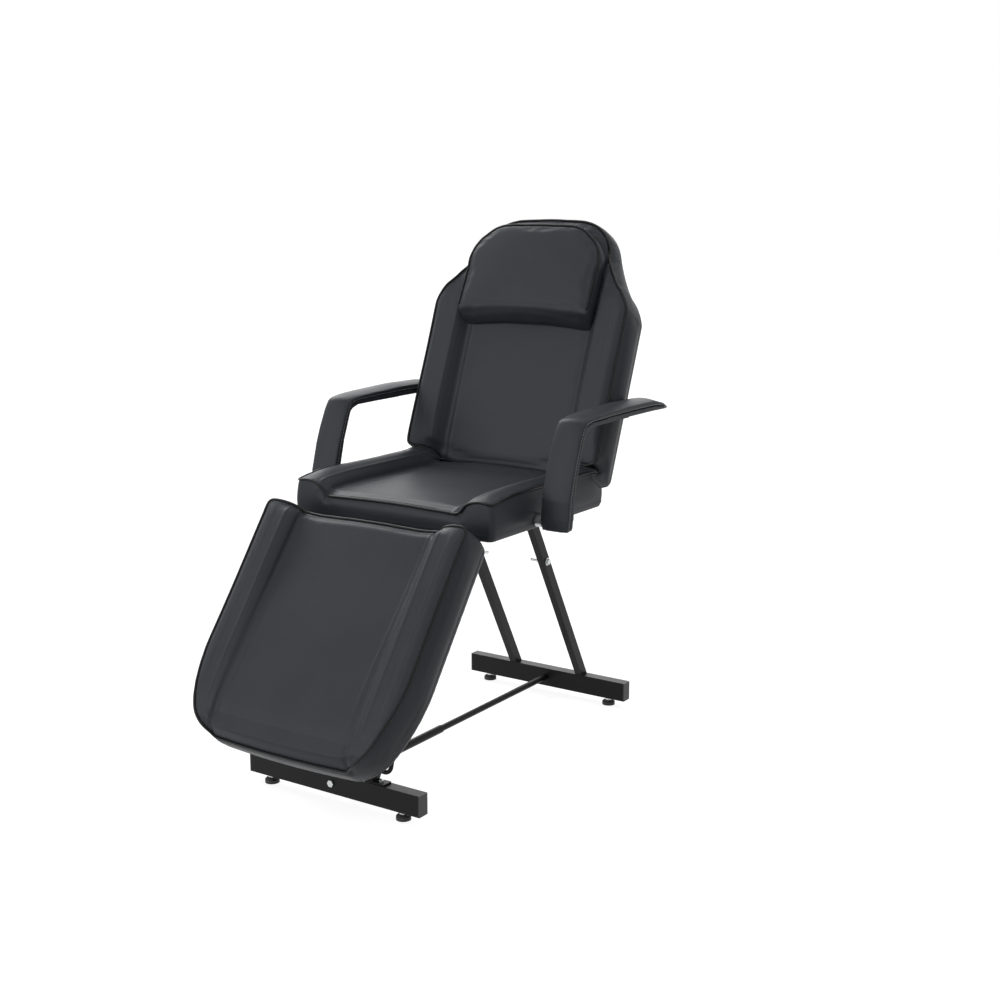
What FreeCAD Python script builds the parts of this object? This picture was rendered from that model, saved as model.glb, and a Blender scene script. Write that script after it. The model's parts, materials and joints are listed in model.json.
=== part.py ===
import FreeCAD, Part
import math
import os

import Sketcher
from FreeCAD import Placement, Rotation, Vector

# Three-section treatment chair: a steel floor frame with two A-shaped pairs of legs, a padded seat
# on two rails, a padded backrest and leg rest hinged on the ends of the rails, two padded armrests and
# a head pillow. Clamps in slotted quadrants hold the backrest; a bent rod in notched plates props the
# leg rest.
# Origin on the floor under the middle of the seat, X to the sitter's left, the sitter faces -Y, Z up.

# Driving sizes in millimetres; names that end in angle are degrees, in count are numbers
SIZES = {
    # Floor beams, their caps, feet and the rod between them
    "beam_length": 490,
    "beam_depth": 30,
    "beam_height": 50,
    "beam_wall": 2,
    "beam_lift": 20,
    "beam_spacing": 914,
    "cap_thickness": 3,
    "foot_inset": 52,
    "glide_diameter": 34,
    "glide_height": 11,
    "glide_chamfer": 2.8,
    "stud_diameter": 10,
    "stud_length": 44,
    "lock_nut_width": 17,
    "lock_nut_height": 6,
    "tie_rod_diameter": 16,
    "tie_rod_wall": 2,
    "tie_plug_length": 24,
    "tie_sleeve_diameter": 20,
    "tie_sleeve_wall": 1.7,
    "tie_sleeve_length": 392,
    "tie_overlap": 160,
    "tie_bolt_diameter": 8,
    "tie_bolt_head_width": 15,
    "tie_bolt_head_height": 5,
    "tie_bolt_length": 49,
    # Legs and foot plates
    "leg_spacing": 212,
    "leg_width": 20,
    "leg_depth": 25,
    "leg_wall": 2,
    "leg_lean_angle": 28.8,
    "foot_plate_length": 34,
    "foot_plate_depth": 26,
    "foot_plate_thickness": 4,
    "foot_bolt_diameter": 6,
    "foot_bolt_head_width": 10,
    "foot_bolt_head_height": 4,
    "foot_bolt_length": 21,
    # Rails and cross tubes under the seat
    "rail_width": 20,
    "rail_height": 25,
    "rail_wall": 2,
    "rail_front_inset": 8,
    "rail_rear_inset": 14,
    "cross_tube_offset": 150,
    # Hinges
    "ear_thickness": 5,
    "ear_radius": 8,
    "hinge_bolt_diameter": 8,
    "bolt_head_width": 13,
    "bolt_head_height": 5,
    "nut_height": 6,
    "thread_end": 1.2,
    "back_hinge_y": 259,
    "back_hinge_z": 606,
    "back_recline_angle": 68.5,
    "leg_hinge_y": -256,
    "leg_hinge_z": 582,
    "leg_drop_angle": 53.7,
    # Seat
    "pad_thickness": 95,
    "seat_width": 576,
    "seat_depth": 495,
    "seat_underside": 593,
    "board_thickness": 12,
    "board_inset": 15,
    "bolster_width": 98,
    "side_tuck": 6,
    "seat_rear_bevel": 43,
    "seat_rear_drop": 27,
    # Backrest
    "back_side_reach": 7,
    "back_length": 651,
    "back_start": 56,
    "back_side_rise": 12,
    "back_face_height": 88.5,
    "back_end_tilt": 26,
    # Leg rest
    "legrest_side_reach": 3,
    "legrest_length": 581,
    "legrest_start": -8,
    "legrest_side_rise": -6,
    "legrest_face_height": 101.3,
    "legrest_end_tilt": 14,
    # Bars under the hinged boards
    "bar_width": 20,
    "bar_height": 20,
    "bar_wall": 1.5,
    "back_bar_start": 30,
    "back_bar_length": 400,
    "legrest_bar_start": 20,
    "legrest_bar_length": 400,
    "screw_diameter": 6,
    "screw_head_diameter": 12,
    "screw_head_height": 3,
    "screw_grip": 9.6,
    # Leg rest prop and its slotted racks, and the bolts through the rear legs
    "prop_rod_diameter": 10,
    "prop_bend_radius": 14,
    "prop_half_width": 165,
    "legrest_prop_reach": 210,
    "legrest_prop_length": 320,
    "rack_thickness": 5,
    "rack_lift": 12,
    "rack_rim": 7,
    "rack_grip": 20,
    "rack_notch_depth": 9,
    "rack_notch_count": 5,
    "leg_bolt_height": 426,
    "leg_bolt_length": 50,
    # Slotted quadrants that hold the backrest
    "quadrant_radius": 42,
    "quadrant_rim": 5,
    "quadrant_clamp_angle": 290,
    "washer_diameter": 20,
    "washer_thickness": 1.6,
    "knob_diameter": 28,
    "knob_length": 16,
    "knob_grip": 11,
    "knob_flute_reach": 17,
    "knob_flute_diameter": 10,
    "knob_lobe_count": 6,
    # Armrests
    "arm_gap": 18,
    "arm_width": 76,
    "arm_reach": 505,
    "arm_rise": 265,
    "arm_front": -84,
    "arm_foot_drop": 18,
    "arm_stud_inset": 24,
    "arm_stud_rise": 22,
    "arm_stud_diameter": 8,
    "arm_stud_length": 74,
    "arm_stud_grip": 30,
    "spacer_diameter": 32,
    "arm_block_length": 70,
    "arm_block_width": 32,
    "arm_block_height": 34,
    # Head pillow
    "pillow_width": 396,
    "pillow_length": 278,
    "pillow_start": 383,
    "pillow_offset": 38,
    "pillow_height": 82,
    "pillow_fold": 46,
    # Clearances
    "press_clearance": 0.05,
    "gap_clearance": 0.3,
    "hole_clearance": 1,
    "cut_overrun": 2,
}

# Outlines as shares, chosen by hand, of the sizes that they follow
BACK_TOP_SHARES = [("arc", (0.949, 0.675), (0.854, 0.725)), ("arc", (0.766, 0.786), (0.671, 0.872)),
                   ("arc", (0.553, 0.951), (0.339, 0.994))]
BACK_SHOULDER_SHARE = 0.625
LEGREST_TOP_SHARES = [("arc", (0.966, 0.752), (0.89, 0.874)), ("arc", (0.797, 0.945), (0.649, 0.991))]
LEGREST_SHOULDER_SHARE = 0.62
PILLOW_TOP_SHARES = [("arc", (0.955, 0.745), (0.79, 0.883)), ("arc", (0.67, 0.95), (0.505, 0.986))]
PILLOW_SHOULDER_SHARE = 0.5
SEAT_CORNER_SHARE = 0.025
SEAT_TOP_SHARES = [("arc", (0.9925, 0.993), (0.975, 1))]
CORNER_SHARE = 0.05
NEAR_END_SHARES = (0.5, 0.72)
CORNER_BOW_SHARE = 0.3
TUCK_SHARE = 0.33
# Levels of a pad's stacked outline, as shares of its thickness
STACK_SHARES = (0, 0.12, 0.6, 1.3)
# The pillow's levels: height, then the side's and the lower edge's set-in as shares of the fold
PILLOW_STACK_SHARES = [(0, 0.2, 0), (0.35, 0, 0.3), (1.2, 0.2, 1.15)]
SCREW_PLACE_SHARES = (0.2, 0.85)
RAIL_SCREW_SHARE = 0.9
CROSS_BAR_SHARE = 0.7
NOTCH_SHARES = (0.75, 0.65)
PATH_STEP_COUNT = 12
CHANNEL_SHARE = 0.16
CREST_PLACE_SHARE = 0.58
SEAT_REAR_SHARE = 1.03
PILLOW_SEAT_SHARE = 0.42
# Heights along a pad: place, then its side edge, bolster crest and middle as shares of its thickness
SEAT_CROWN_SHARES = [(0, 0.79, 0.93, 0.66), (0.12, 0.96, 1.03, 0.7), (0.3, 1.03, 1.08, 0.72),
                     (0.6, 1.01, 1.07, 0.72), (0.88, 0.98, 1.04, 0.69), (1, 0.9, 0.96, 0.6)]
BACK_CROWN_SHARES = [(0, 0.95, 0.98, 0.68), (0.12, 0.99, 1.05, 0.73), (0.4, 1, 1.07, 0.76),
                     (0.75, 1, 1.07, 0.76), (1, 0.98, 1.05, 0.74)]
LEGREST_CROWN_SHARES = [(0, 1, 1.03, 0.755), (0.12, 1.02, 1.06, 0.76), (0.4, 1.02, 1.07, 0.77),
                        (0.8, 1.02, 1.07, 0.76), (1, 0.96, 1.01, 0.7)]
PILLOW_CROWN_SHARES = [(0, 0.85, 0.85, 0.93), (0.2, 0.88, 0.88, 1.02), (0.45, 0.84, 0.84, 1.03),
                       (0.75, 0.76, 0.76, 0.96), (1, 0.6, 0.6, 0.76)]
# Armrest: outer edge and inner edge (along, up) from its lower front corner, then width
ARM_SHARES = [((0, 0), (0.067, 0), 0.9), ((0, 0.1), (0.067, 0.1), 1), ((0.01, 0.27), (0.076, 0.29), 1),
              ((0.048, 0.517), (0.112, 0.555), 1), ((0.105, 0.79), (0.167, 0.82), 1),
              ((0.146, 0.949), (0.19, 0.845), 1), ((0.226, 0.97), (0.226, 0.865), 1),
              ((0.384, 0.985), (0.384, 0.87), 1), ((0.6, 1), (0.6, 0.872), 1),
              ((0.83, 0.992), (0.83, 0.872), 1), ((0.925, 0.945), (0.925, 0.87), 0.96),
              ((0.985, 0.885), (0.98, 0.86), 0.85)]
ARM_SEAM_SHARE = 0.42
ARM_SHOULDER_SHARE = 0.8

doc = FreeCAD.newDocument("tattoo_chair")
sheet = doc.addObject("Spreadsheet::Sheet", "Sizes")
for row, (alias, number) in enumerate(SIZES.items(), start=1):
    cell = "B%d" % row
    sheet.set("A%d" % row, alias)
    sheet.set(cell, str(number))
    sheet.setAlias(cell, alias)
doc.recompute()


def size(alias):
    """The number that the sheet holds under an alias."""
    return float(sheet.get(alias))


def cells(expression):
    """An expression on the sheet: each alias in it gets the sheet's name."""
    words = expression
    for alias in sorted(SIZES, key=len, reverse=True):
        words = words.replace("<%s>" % alias, "Sizes.%s" % alias)
    return words


SUBPARTS = []


def keep(item, label, placement=Placement()):
    """Name a finished sub-part, place it and remember it for export."""
    item.Label = label
    item.Placement = placement
    SUBPARTS.append(item)
    return item


# Sketches and features

def origin_plane(body, role):
    return next(item for item in body.Origin.OriginFeatures if item.Role == role)


def new_sketch(body, role, name, lift="0", across="0", up="0"):
    """A sketch on one of the body's own origin planes, moved by expressions on the sheet."""
    sketch = body.newObject("Sketcher::SketchObject", name)
    sketch.AttachmentSupport = (origin_plane(body, role), [""])
    sketch.MapMode = "FlatFace"
    sketch.setExpression("AttachmentOffset.Base.x", cells(across))
    sketch.setExpression("AttachmentOffset.Base.y", cells(up))
    sketch.setExpression("AttachmentOffset.Base.z", cells(lift))
    return sketch


def bind(sketch, constraint, expression):
    """Add a dimension to a sketch and tie it to the sheet."""
    index = sketch.addConstraint(constraint)
    sketch.setExpression("Constraints[%d]" % index, cells(expression))


def rectangle(sketch, width, height):
    """A rectangle about the sketch's origin."""
    half = size("beam_depth") / 2
    corners = [Vector(-half, -half, 0), Vector(half, -half, 0), Vector(half, half, 0), Vector(-half, half, 0)]
    first = sketch.GeometryCount
    for place in range(4):
        sketch.addGeometry(Part.LineSegment(corners[place], corners[(place + 1) % 4]))
    for place in range(4):
        sketch.addConstraint(Sketcher.Constraint("Coincident", first + place, 2, first + (place + 1) % 4, 1))
    sketch.addConstraint(Sketcher.Constraint("Horizontal", first))
    sketch.addConstraint(Sketcher.Constraint("Horizontal", first + 2))
    sketch.addConstraint(Sketcher.Constraint("Vertical", first + 1))
    sketch.addConstraint(Sketcher.Constraint("Vertical", first + 3))
    sketch.addConstraint(Sketcher.Constraint("Symmetric", first, 1, first + 1, 2, -1, 1))
    bind(sketch, Sketcher.Constraint("DistanceX", first, 1, first, 2, 2 * half), width)
    bind(sketch, Sketcher.Constraint("DistanceY", first + 1, 1, first + 1, 2, 2 * half), height)


def circle(sketch, diameter):
    """A circle about the sketch's origin."""
    first = sketch.addGeometry(Part.Circle(Vector(0, 0, 0), Vector(0, 0, 1), size("beam_wall")))
    sketch.addConstraint(Sketcher.Constraint("Coincident", first, 3, -1, 1))
    bind(sketch, Sketcher.Constraint("Diameter", first, 2 * size("beam_wall")), diameter)


def hexagon(sketch, across_flats):
    """A regular hexagon about the sketch's origin, two flats level."""
    reach = size("bolt_head_width") / math.sqrt(3)
    corners = [Vector(reach * math.cos(turn * math.pi / 3), reach * math.sin(turn * math.pi / 3), 0)
               for turn in range(6)]
    for place in range(6):
        sketch.addGeometry(Part.LineSegment(corners[place], corners[(place + 1) % 6]))
    for place in range(6):
        sketch.addConstraint(Sketcher.Constraint("Coincident", place, 2, (place + 1) % 6, 1))
    guide = sketch.addGeometry(Part.Circle(Vector(0, 0, 0), Vector(0, 0, 1), reach), True)
    sketch.addConstraint(Sketcher.Constraint("Coincident", guide, 3, -1, 1))
    for place in range(6):
        sketch.addConstraint(Sketcher.Constraint("PointOnObject", place, 1, guide))
    for place in range(1, 6):
        sketch.addConstraint(Sketcher.Constraint("Equal", 0, place))
    sketch.addConstraint(Sketcher.Constraint("Horizontal", 1))
    bind(sketch, Sketcher.Constraint("Diameter", guide, 2 * reach), "2 * (%s) / sqrt(3)" % across_flats)


def pad(body, sketch, length, middle=False, reverse=False):
    feature = body.newObject("PartDesign::Pad", "Pad")
    feature.Profile = sketch
    feature.setExpression("Length", cells(length))
    feature.Midplane = middle
    feature.Reversed = reverse
    body.Tip = feature
    doc.recompute()
    return feature


def drill(body, role, diameter, across="0", up="0"):
    """A round hole right through the body, square to one of its origin planes."""
    before = body.Shape.Volume
    sketch = new_sketch(body, role, "HoleCircle", across=across, up=up)
    circle(sketch, diameter)
    pocket = body.newObject("PartDesign::Pocket", "Hole")
    pocket.Profile = sketch
    pocket.Type = 1
    pocket.Midplane = True
    body.Tip = pocket
    doc.recompute()
    if body.Shape.Volume >= before:
        raise ValueError("a hole in %s cuts nothing" % body.Label)
    return pocket


def square_tube(name, role, width, height, wall, length, middle=True):
    """A hollow rectangular tube along the normal of one origin plane."""
    body = doc.addObject("PartDesign::Body", name)
    sketch = new_sketch(body, role, "Section")
    rectangle(sketch, width, height)
    rectangle(sketch, "%s - 2 * %s" % (width, wall), "%s - 2 * %s" % (height, wall))
    pad(body, sketch, length, middle=middle)
    return body


def fastener(name, head_width, head_height, diameter, length, round_head=False):
    """A headed fastener: the head's underside at the origin, the shank along +Z."""
    body = doc.addObject("PartDesign::Body", name)
    head = new_sketch(body, "XY_Plane", "Head")
    if round_head:
        circle(head, head_width)
    else:
        hexagon(head, head_width)
    pad(body, head, head_height, reverse=True)
    shank = new_sketch(body, "XY_Plane", "Shank")
    circle(shank, diameter)
    pad(body, shank, length)
    return body


def nut(name, width, height, bore):
    """A hexagon nut standing on the origin, along +Z."""
    body = doc.addObject("PartDesign::Body", name)
    sketch = new_sketch(body, "XY_Plane", "Outline")
    hexagon(sketch, width)
    circle(sketch, bore)
    pad(body, sketch, height)
    return body


def copies(label, master, placements):
    """Identical pieces under one name, each a solid of its own."""
    item = doc.addObject("Part::Feature", label)
    solids = []
    for placement in placements:
        solid = master.Shape.copy()
        solid.Placement = placement
        solids.append(solid)
    item.Shape = Part.makeCompound(solids)
    return keep(item, label)


def turned(x, y, z, axis=Vector(0, 0, 1), angle=0):
    return Placement(Vector(x, y, z), Rotation(axis, angle))


# Places that several pieces share
BEAM_TOP = size("beam_lift") + size("beam_height")
BEAM_MIDDLE = size("beam_lift") + size("beam_height") / 2
BEAM_Y = size("beam_spacing") / 2
LEG_X = size("leg_spacing") / 2
RAIL_BOTTOM = size("seat_underside") - size("rail_height")
RAIL_Z = size("seat_underside") - size("rail_height") / 2
LEAN = math.radians(size("leg_lean_angle"))
ARM_STUD_Y = size("arm_front") + size("arm_stud_inset")
ARM_STUD_Z = size("seat_underside") + size("arm_stud_rise")
EAR_X = LEG_X + size("rail_width") / 2
BAR_X = EAR_X + 2 * size("ear_thickness") + size("gap_clearance") + size("bar_width") / 2
BACK_HINGE = Placement(Vector(0, size("back_hinge_y"), size("back_hinge_z")),
                       Rotation(Vector(1, 0, 0), size("back_recline_angle")))
LEGREST_HINGE = Placement(Vector(0, size("leg_hinge_y"), size("leg_hinge_z")),
                          Rotation(Vector(1, 0, 0), size("leg_drop_angle")))
BACK_BAR_DROP = size("pad_thickness") - size("back_face_height") + size("bar_height") / 2
LEGREST_BAR_DROP = size("pad_thickness") - size("legrest_face_height") + size("bar_height") / 2


def leg_y(height, side):
    """Where a leg's centre line is at a height: side 1 for the rear legs, -1 for the front ones."""
    return side * (BEAM_Y - (height - BEAM_TOP) * math.tan(LEAN))


# Floor frame

def make_beams():
    for label, side in (("front_floor_beam", -1), ("rear_floor_beam", 1)):
        body = square_tube("Beam", "YZ_Plane", "<beam_depth>", "<beam_height>", "<beam_wall>",
                           "<beam_length>")
        drill(body, "XZ_Plane", "<tie_bolt_diameter> + 2 * <press_clearance>")
        for sign in ("", "-"):
            hole = new_sketch(body, "XY_Plane", "StudHole", lift="-<beam_height> / 2 - <cut_overrun>",
                              across="%s(<beam_length> / 2 - <foot_inset>)" % sign)
            circle(hole, "<stud_diameter> + 2 * <press_clearance>")
            pocket = body.newObject("PartDesign::Pocket", "StudPocket")
            pocket.Profile = hole
            pocket.Reversed = True
            pocket.setExpression("Length", cells("<beam_wall> + 2 * <cut_overrun>"))
            body.Tip = pocket
            doc.recompute()
        if side < 0:
            for sign in ("", "-"):
                place = "%s(<leg_spacing> / 2 + <leg_width> / 2 + <foot_plate_length> / 2)" % sign
                hole = new_sketch(body, "XY_Plane", "PlateHole", lift="<beam_height> / 2 + <cut_overrun>",
                                  across=place)
                circle(hole, "<foot_bolt_diameter> + 2 * <press_clearance>")
                pocket = body.newObject("PartDesign::Pocket", "PlatePocket")
                pocket.Profile = hole
                pocket.setExpression("Length", cells("<beam_wall> + 2 * <cut_overrun>"))
                body.Tip = pocket
                doc.recompute()
        keep(body, label, turned(0, side * BEAM_Y, BEAM_MIDDLE))


def make_caps():
    """A cap has a flange as large as the beam and a plug that fits inside its walls."""
    body = doc.addObject("PartDesign::Body", "Cap")
    flange = new_sketch(body, "YZ_Plane", "Flange")
    rectangle(flange, "<beam_depth>", "<beam_height>")
    pad(body, flange, "<cap_thickness>")
    plug = new_sketch(body, "YZ_Plane", "Plug")
    inside = "<beam_%s> - 2 * <beam_wall> - 2 * <gap_clearance>"
    rectangle(plug, inside % "depth", inside % "height")
    pad(body, plug, "4 * <cap_thickness>", reverse=True)
    end = size("beam_length") / 2
    places = [turned(side * end, row * BEAM_Y, BEAM_MIDDLE, angle=0 if side > 0 else 180)
              for side in (-1, 1) for row in (-1, 1)]
    copies("beam_end_caps", body, places)


def make_feet():
    glide = doc.addObject("PartDesign::Body", "Glide")
    sketch = new_sketch(glide, "XY_Plane", "Disc")
    circle(sketch, "<glide_diameter>")
    base = pad(glide, sketch, "<glide_height>")
    edges = ["Edge%d" % (place + 1) for place, edge in enumerate(base.Shape.Edges)
             if abs(edge.BoundBox.ZMin - base.Shape.BoundBox.ZMax) < size("press_clearance")]
    chamfer = glide.newObject("PartDesign::Chamfer", "Rim")
    chamfer.Base = (base, edges)
    chamfer.setExpression("Size", cells("<glide_chamfer>"))
    glide.Tip = chamfer
    stud = doc.addObject("PartDesign::Body", "Stud")
    shank = new_sketch(stud, "XY_Plane", "Shank")
    circle(shank, "<stud_diameter>")
    pad(stud, shank, "<stud_length>")
    lock = nut("LockNut", "<lock_nut_width>", "<lock_nut_height>", "<stud_diameter> + 2 * <press_clearance>")
    nuts = []
    x = size("beam_length") / 2 - size("foot_inset")
    for end, row in (("front", -1), ("rear", 1)):
        for hand, side in (("right", -1), ("left", 1)):
            copies("%s_%s_foot_glide" % (end, hand), glide, [turned(side * x, row * BEAM_Y, 0)])
            copies("%s_%s_foot_stud" % (end, hand), stud,
                   [turned(side * x, row * BEAM_Y, size("glide_height"))])
            nuts.append(turned(side * x, row * BEAM_Y, size("beam_lift") - size("lock_nut_height")))
    copies("foot_lock_nuts", lock, nuts)


def make_tie_rod():
    """The thin tube bolts to the rear beam and runs into the wider sleeve on the front beam."""
    inner_faces = size("beam_spacing") - size("beam_depth")
    tube_length = "<beam_spacing> - <beam_depth> - <tie_sleeve_length> + <tie_overlap>"
    bore = "<tie_bolt_diameter> + 2 * <press_clearance>"
    tube = doc.addObject("PartDesign::Body", "TieTube")
    sketch = new_sketch(tube, "XZ_Plane", "Outside")
    circle(sketch, "<tie_rod_diameter>")
    circle(sketch, "<tie_rod_diameter> - 2 * <tie_rod_wall>")
    pad(tube, sketch, tube_length)
    plug = new_sketch(tube, "XZ_Plane", "Plug")
    circle(plug, "<tie_rod_diameter> - <tie_rod_wall>")
    circle(plug, bore)
    pad(tube, plug, "<tie_plug_length>")
    keep(tube, "tie_rod_tube", turned(0, inner_faces / 2, BEAM_MIDDLE))
    sleeve = doc.addObject("PartDesign::Body", "TieSleeve")
    sketch = new_sketch(sleeve, "XZ_Plane", "Outside")
    circle(sketch, "<tie_sleeve_diameter>")
    circle(sketch, "<tie_sleeve_diameter> - 2 * <tie_sleeve_wall>")
    pad(sleeve, sketch, "<tie_sleeve_length>", reverse=True)
    plug = new_sketch(sleeve, "XZ_Plane", "Plug")
    circle(plug, "<tie_sleeve_diameter> - <tie_sleeve_wall>")
    circle(plug, bore)
    pad(sleeve, plug, "<tie_plug_length>", reverse=True)
    keep(sleeve, "tie_rod_sleeve", turned(0, -inner_faces / 2, BEAM_MIDDLE))
    bolt = fastener("TieBolt", "<tie_bolt_head_width>", "<tie_bolt_head_height>", "<tie_bolt_diameter>",
                    "<tie_bolt_length>")
    outer = BEAM_Y + size("beam_depth") / 2
    copies("tie_rod_bolts", bolt, [turned(0, -outer, BEAM_MIDDLE, Vector(1, 0, 0), -90),
                                   turned(0, outer, BEAM_MIDDLE, Vector(1, 0, 0), 90)])


def make_legs():
    """A leg is a square tube cut level at the beam and at the rail, the front pair leaning back."""
    for end, row in (("front", -1), ("rear", 1)):
        for hand, side in (("right", -1), ("left", 1)):
            width, depth, wall = size("leg_width"), size("leg_depth") / math.cos(LEAN), size("leg_wall")
            rise = RAIL_BOTTOM - BEAM_TOP
            shift = -row * rise * math.tan(LEAN)
            walls = []
            for inset in (0, wall):
                x = width / 2 - inset
                y = depth / 2 - inset / math.cos(LEAN)
                corners = [Vector(-x, -y, 0), Vector(x, -y, 0), Vector(x, y, 0), Vector(-x, y, 0)]
                foot = Part.makePolygon(corners + corners[:1])
                top = foot.copy()
                top.translate(Vector(0, shift, rise))
                walls.append(Part.makeLoft([foot, top], True, True))
            shape = walls[0].cut(walls[1])
            if row > 0:
                height = size("leg_bolt_height")
                y = leg_y(height, row) - row * BEAM_Y
                radius = size("tie_bolt_diameter") / 2 + size("press_clearance")
                start = Vector(-width, y, height - BEAM_TOP)
                shape = shape.cut(Part.makeCylinder(radius, 2 * width, start, Vector(1, 0, 0)))
            item = doc.addObject("Part::Feature", "Leg")
            item.Shape = shape
            keep(item, "%s_%s_leg" % (hand, end), turned(side * LEG_X, row * BEAM_Y, BEAM_TOP))


def make_foot_plates():
    """Short plates beside the front legs, bolted down on the front beam."""
    plate = doc.addObject("PartDesign::Body", "FootPlate")
    sketch = new_sketch(plate, "XY_Plane", "Outline")
    rectangle(sketch, "<foot_plate_length>", "<foot_plate_depth>")
    circle(sketch, "<foot_bolt_diameter> + 2 * <press_clearance>")
    pad(plate, sketch, "<foot_plate_thickness>")
    bolt = fastener("PlateBolt", "<foot_bolt_head_width>", "<foot_bolt_head_height>", "<foot_bolt_diameter>",
                    "<foot_bolt_length>")
    x = LEG_X + size("leg_width") / 2 + size("foot_plate_length") / 2
    top = BEAM_TOP + size("foot_plate_thickness")
    copies("front_foot_plates", plate, [turned(side * x, -BEAM_Y, BEAM_TOP) for side in (-1, 1)])
    copies("foot_plate_bolts", bolt,
           [turned(side * x, -BEAM_Y, top, Vector(1, 0, 0), 180) for side in (-1, 1)])


# Rails with their hinge ears, and the bars of the hinged sections

def feature(shape, name="Shape"):
    item = doc.addObject("Part::Feature", name)
    item.Shape = shape
    return item


def welded(name, pieces, holes):
    """Pieces joined into one, with the holes cut from them."""
    joined = doc.addObject("Part::MultiFuse", name + "Joined")
    joined.Shapes = pieces
    result = doc.addObject("Part::Cut", name)
    result.Base = joined
    result.Tool = feature(Part.makeCompound(holes), name + "Holes")
    doc.recompute()
    return result


def ear_plate(inner, side, points):
    """A round-ended plate through the points (y, z), on the side of a tube that it faces."""
    radius, thickness = size("ear_radius"), size("ear_thickness")
    across = Vector(side, 0, 0)
    shape = None
    for start, end in zip(points, points[1:]):
        first, last = Vector(inner * side, *start), Vector(inner * side, *end)
        normal = across.cross((last - first).normalize()) * radius
        corners = [first + normal, last + normal, last - normal, first - normal]
        web = Part.Face(Part.makePolygon(corners + corners[:1])).extrude(across * thickness)
        ends = [Part.makeCylinder(radius, thickness, point, across) for point in (first, last)]
        link = web.fuse(ends)
        shape = link if shape is None else shape.fuse(link)
    return shape.removeSplitter()


def cross_hole(diameter, y, z, x=0, reach=None):
    """A hole along X about the point, as long as the bars are wide by default."""
    reach = reach or 2 * size("bar_width")
    return Part.makeCylinder(diameter / 2, 2 * reach, Vector(x - reach, y, z), Vector(1, 0, 0))


def upright_hole(diameter, y, reach):
    return Part.makeCylinder(diameter / 2, 2 * reach, Vector(0, y, -reach), Vector(0, 0, 1))


def screw_places(start, length):
    """Where the screws go through a bar, from its start along its length."""
    return [start + length * share for share in SCREW_PLACE_SHARES]


CLAMP_TURN = math.radians(size("quadrant_clamp_angle"))
CLAMP = Vector(0, size("back_hinge_y") + size("quadrant_radius") * math.cos(CLAMP_TURN),
               size("back_hinge_z") + size("quadrant_radius") * math.sin(CLAMP_TURN))
RAIL_FRONT = -(size("seat_depth") / 2 - size("rail_front_inset"))
RAIL_REAR = size("back_hinge_y") - size("rail_rear_inset")
RAIL_MIDDLE = (RAIL_FRONT + RAIL_REAR) / 2
SCREW_HOLE = size("screw_diameter") + 2 * size("press_clearance")
HINGE_HOLE = size("hinge_bolt_diameter") + 2 * size("press_clearance")


def make_rails():
    """The rails carry the seat board and the hinge ears at both ends."""
    length = RAIL_REAR - RAIL_FRONT
    front = (size("leg_hinge_y"), size("leg_hinge_z") - RAIL_Z)
    rear = (size("back_hinge_y"), size("back_hinge_z") - RAIL_Z)
    clamp = (CLAMP.y, CLAMP.z - RAIL_Z)
    radius = size("ear_radius")
    root = (RAIL_FRONT + 3 * radius, radius - size("rail_height") / 2 + size("gap_clearance"))
    for hand, side in (("right", -1), ("left", 1)):
        tube = square_tube("Rail", "XZ_Plane", "<rail_width>", "<rail_height>", "<rail_wall>",
                           "<back_hinge_y> - <rail_rear_inset> + <seat_depth> / 2 - <rail_front_inset>")
        tube.Placement = turned(0, RAIL_MIDDLE, 0)
        doc.recompute()
        ears = [ear_plate(size("rail_width") / 2, side, [root, front]),
                ear_plate(size("rail_width") / 2, side, [(RAIL_REAR - 2 * radius, 0), clamp, rear, clamp])]
        holes = [cross_hole(HINGE_HOLE, *place) for place in (front, rear, clamp)]
        holes += [upright_hole(SCREW_HOLE, RAIL_MIDDLE + y, size("rail_height"))
                  for y in screw_places(-length / 2, length * RAIL_SCREW_SHARE)]
        item = welded("Rail", [tube] + [feature(shape) for shape in ears], holes)
        keep(item, "%s_seat_rail" % hand, turned(side * LEG_X, 0, RAIL_Z))
    for end, side in (("front", -1), ("rear", 1)):
        cross = square_tube("CrossTube", "YZ_Plane", "<rail_width>", "<rail_height>", "<rail_wall>",
                            "<leg_spacing> - <rail_width>")
        keep(cross, "%s_cross_tube" % end, turned(0, side * size("cross_tube_offset"), RAIL_Z))


def make_bars(section, start, length, drop, way, hinge, prop_reach=None):
    """Two bars under a hinged board, each with an ear to the hinge, and a cross bar between them."""
    middle = start + size(length) / 2
    for hand, side in (("right", -1), ("left", 1)):
        tube = square_tube("Bar", "XZ_Plane", "<bar_width>", "<bar_height>", "<bar_wall>", "<%s>" % length)
        tube.Placement = turned(0, way * middle, 0)
        doc.recompute()
        root = (way * (start + 2 * size("ear_radius")), -size("bar_height") / 2 + size("ear_radius"))
        plate = ear_plate(size("bar_width") / 2, -side, [root, (0, drop)])
        holes = [cross_hole(HINGE_HOLE, 0, drop)]
        if prop_reach:
            bore = size("prop_rod_diameter") + 2 * size("press_clearance")
            holes.append(cross_hole(bore, way * prop_reach, 0))
        else:
            plate = plate.fuse(quadrant(-side, drop))
        holes += [upright_hole(SCREW_HOLE, way * y, size("bar_height"))
                  for y in screw_places(start, size(length))]
        item = welded("Bar", [tube, feature(plate)], holes)
        keep(item, "%s_%s_bar" % (hand, section), hinge.multiply(turned(side * BAR_X, 0, -drop)))
    cross = square_tube("CrossBar", "YZ_Plane", "<bar_width>", "<bar_height>", "<bar_wall>",
                        "<leg_spacing> + <rail_width> + 4 * <ear_thickness> + 2 * <gap_clearance>")
    keep(cross, "%s_cross_bar" % section,
         hinge.multiply(turned(0, way * (start + size(length) * CROSS_BAR_SHARE), -drop)))


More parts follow.
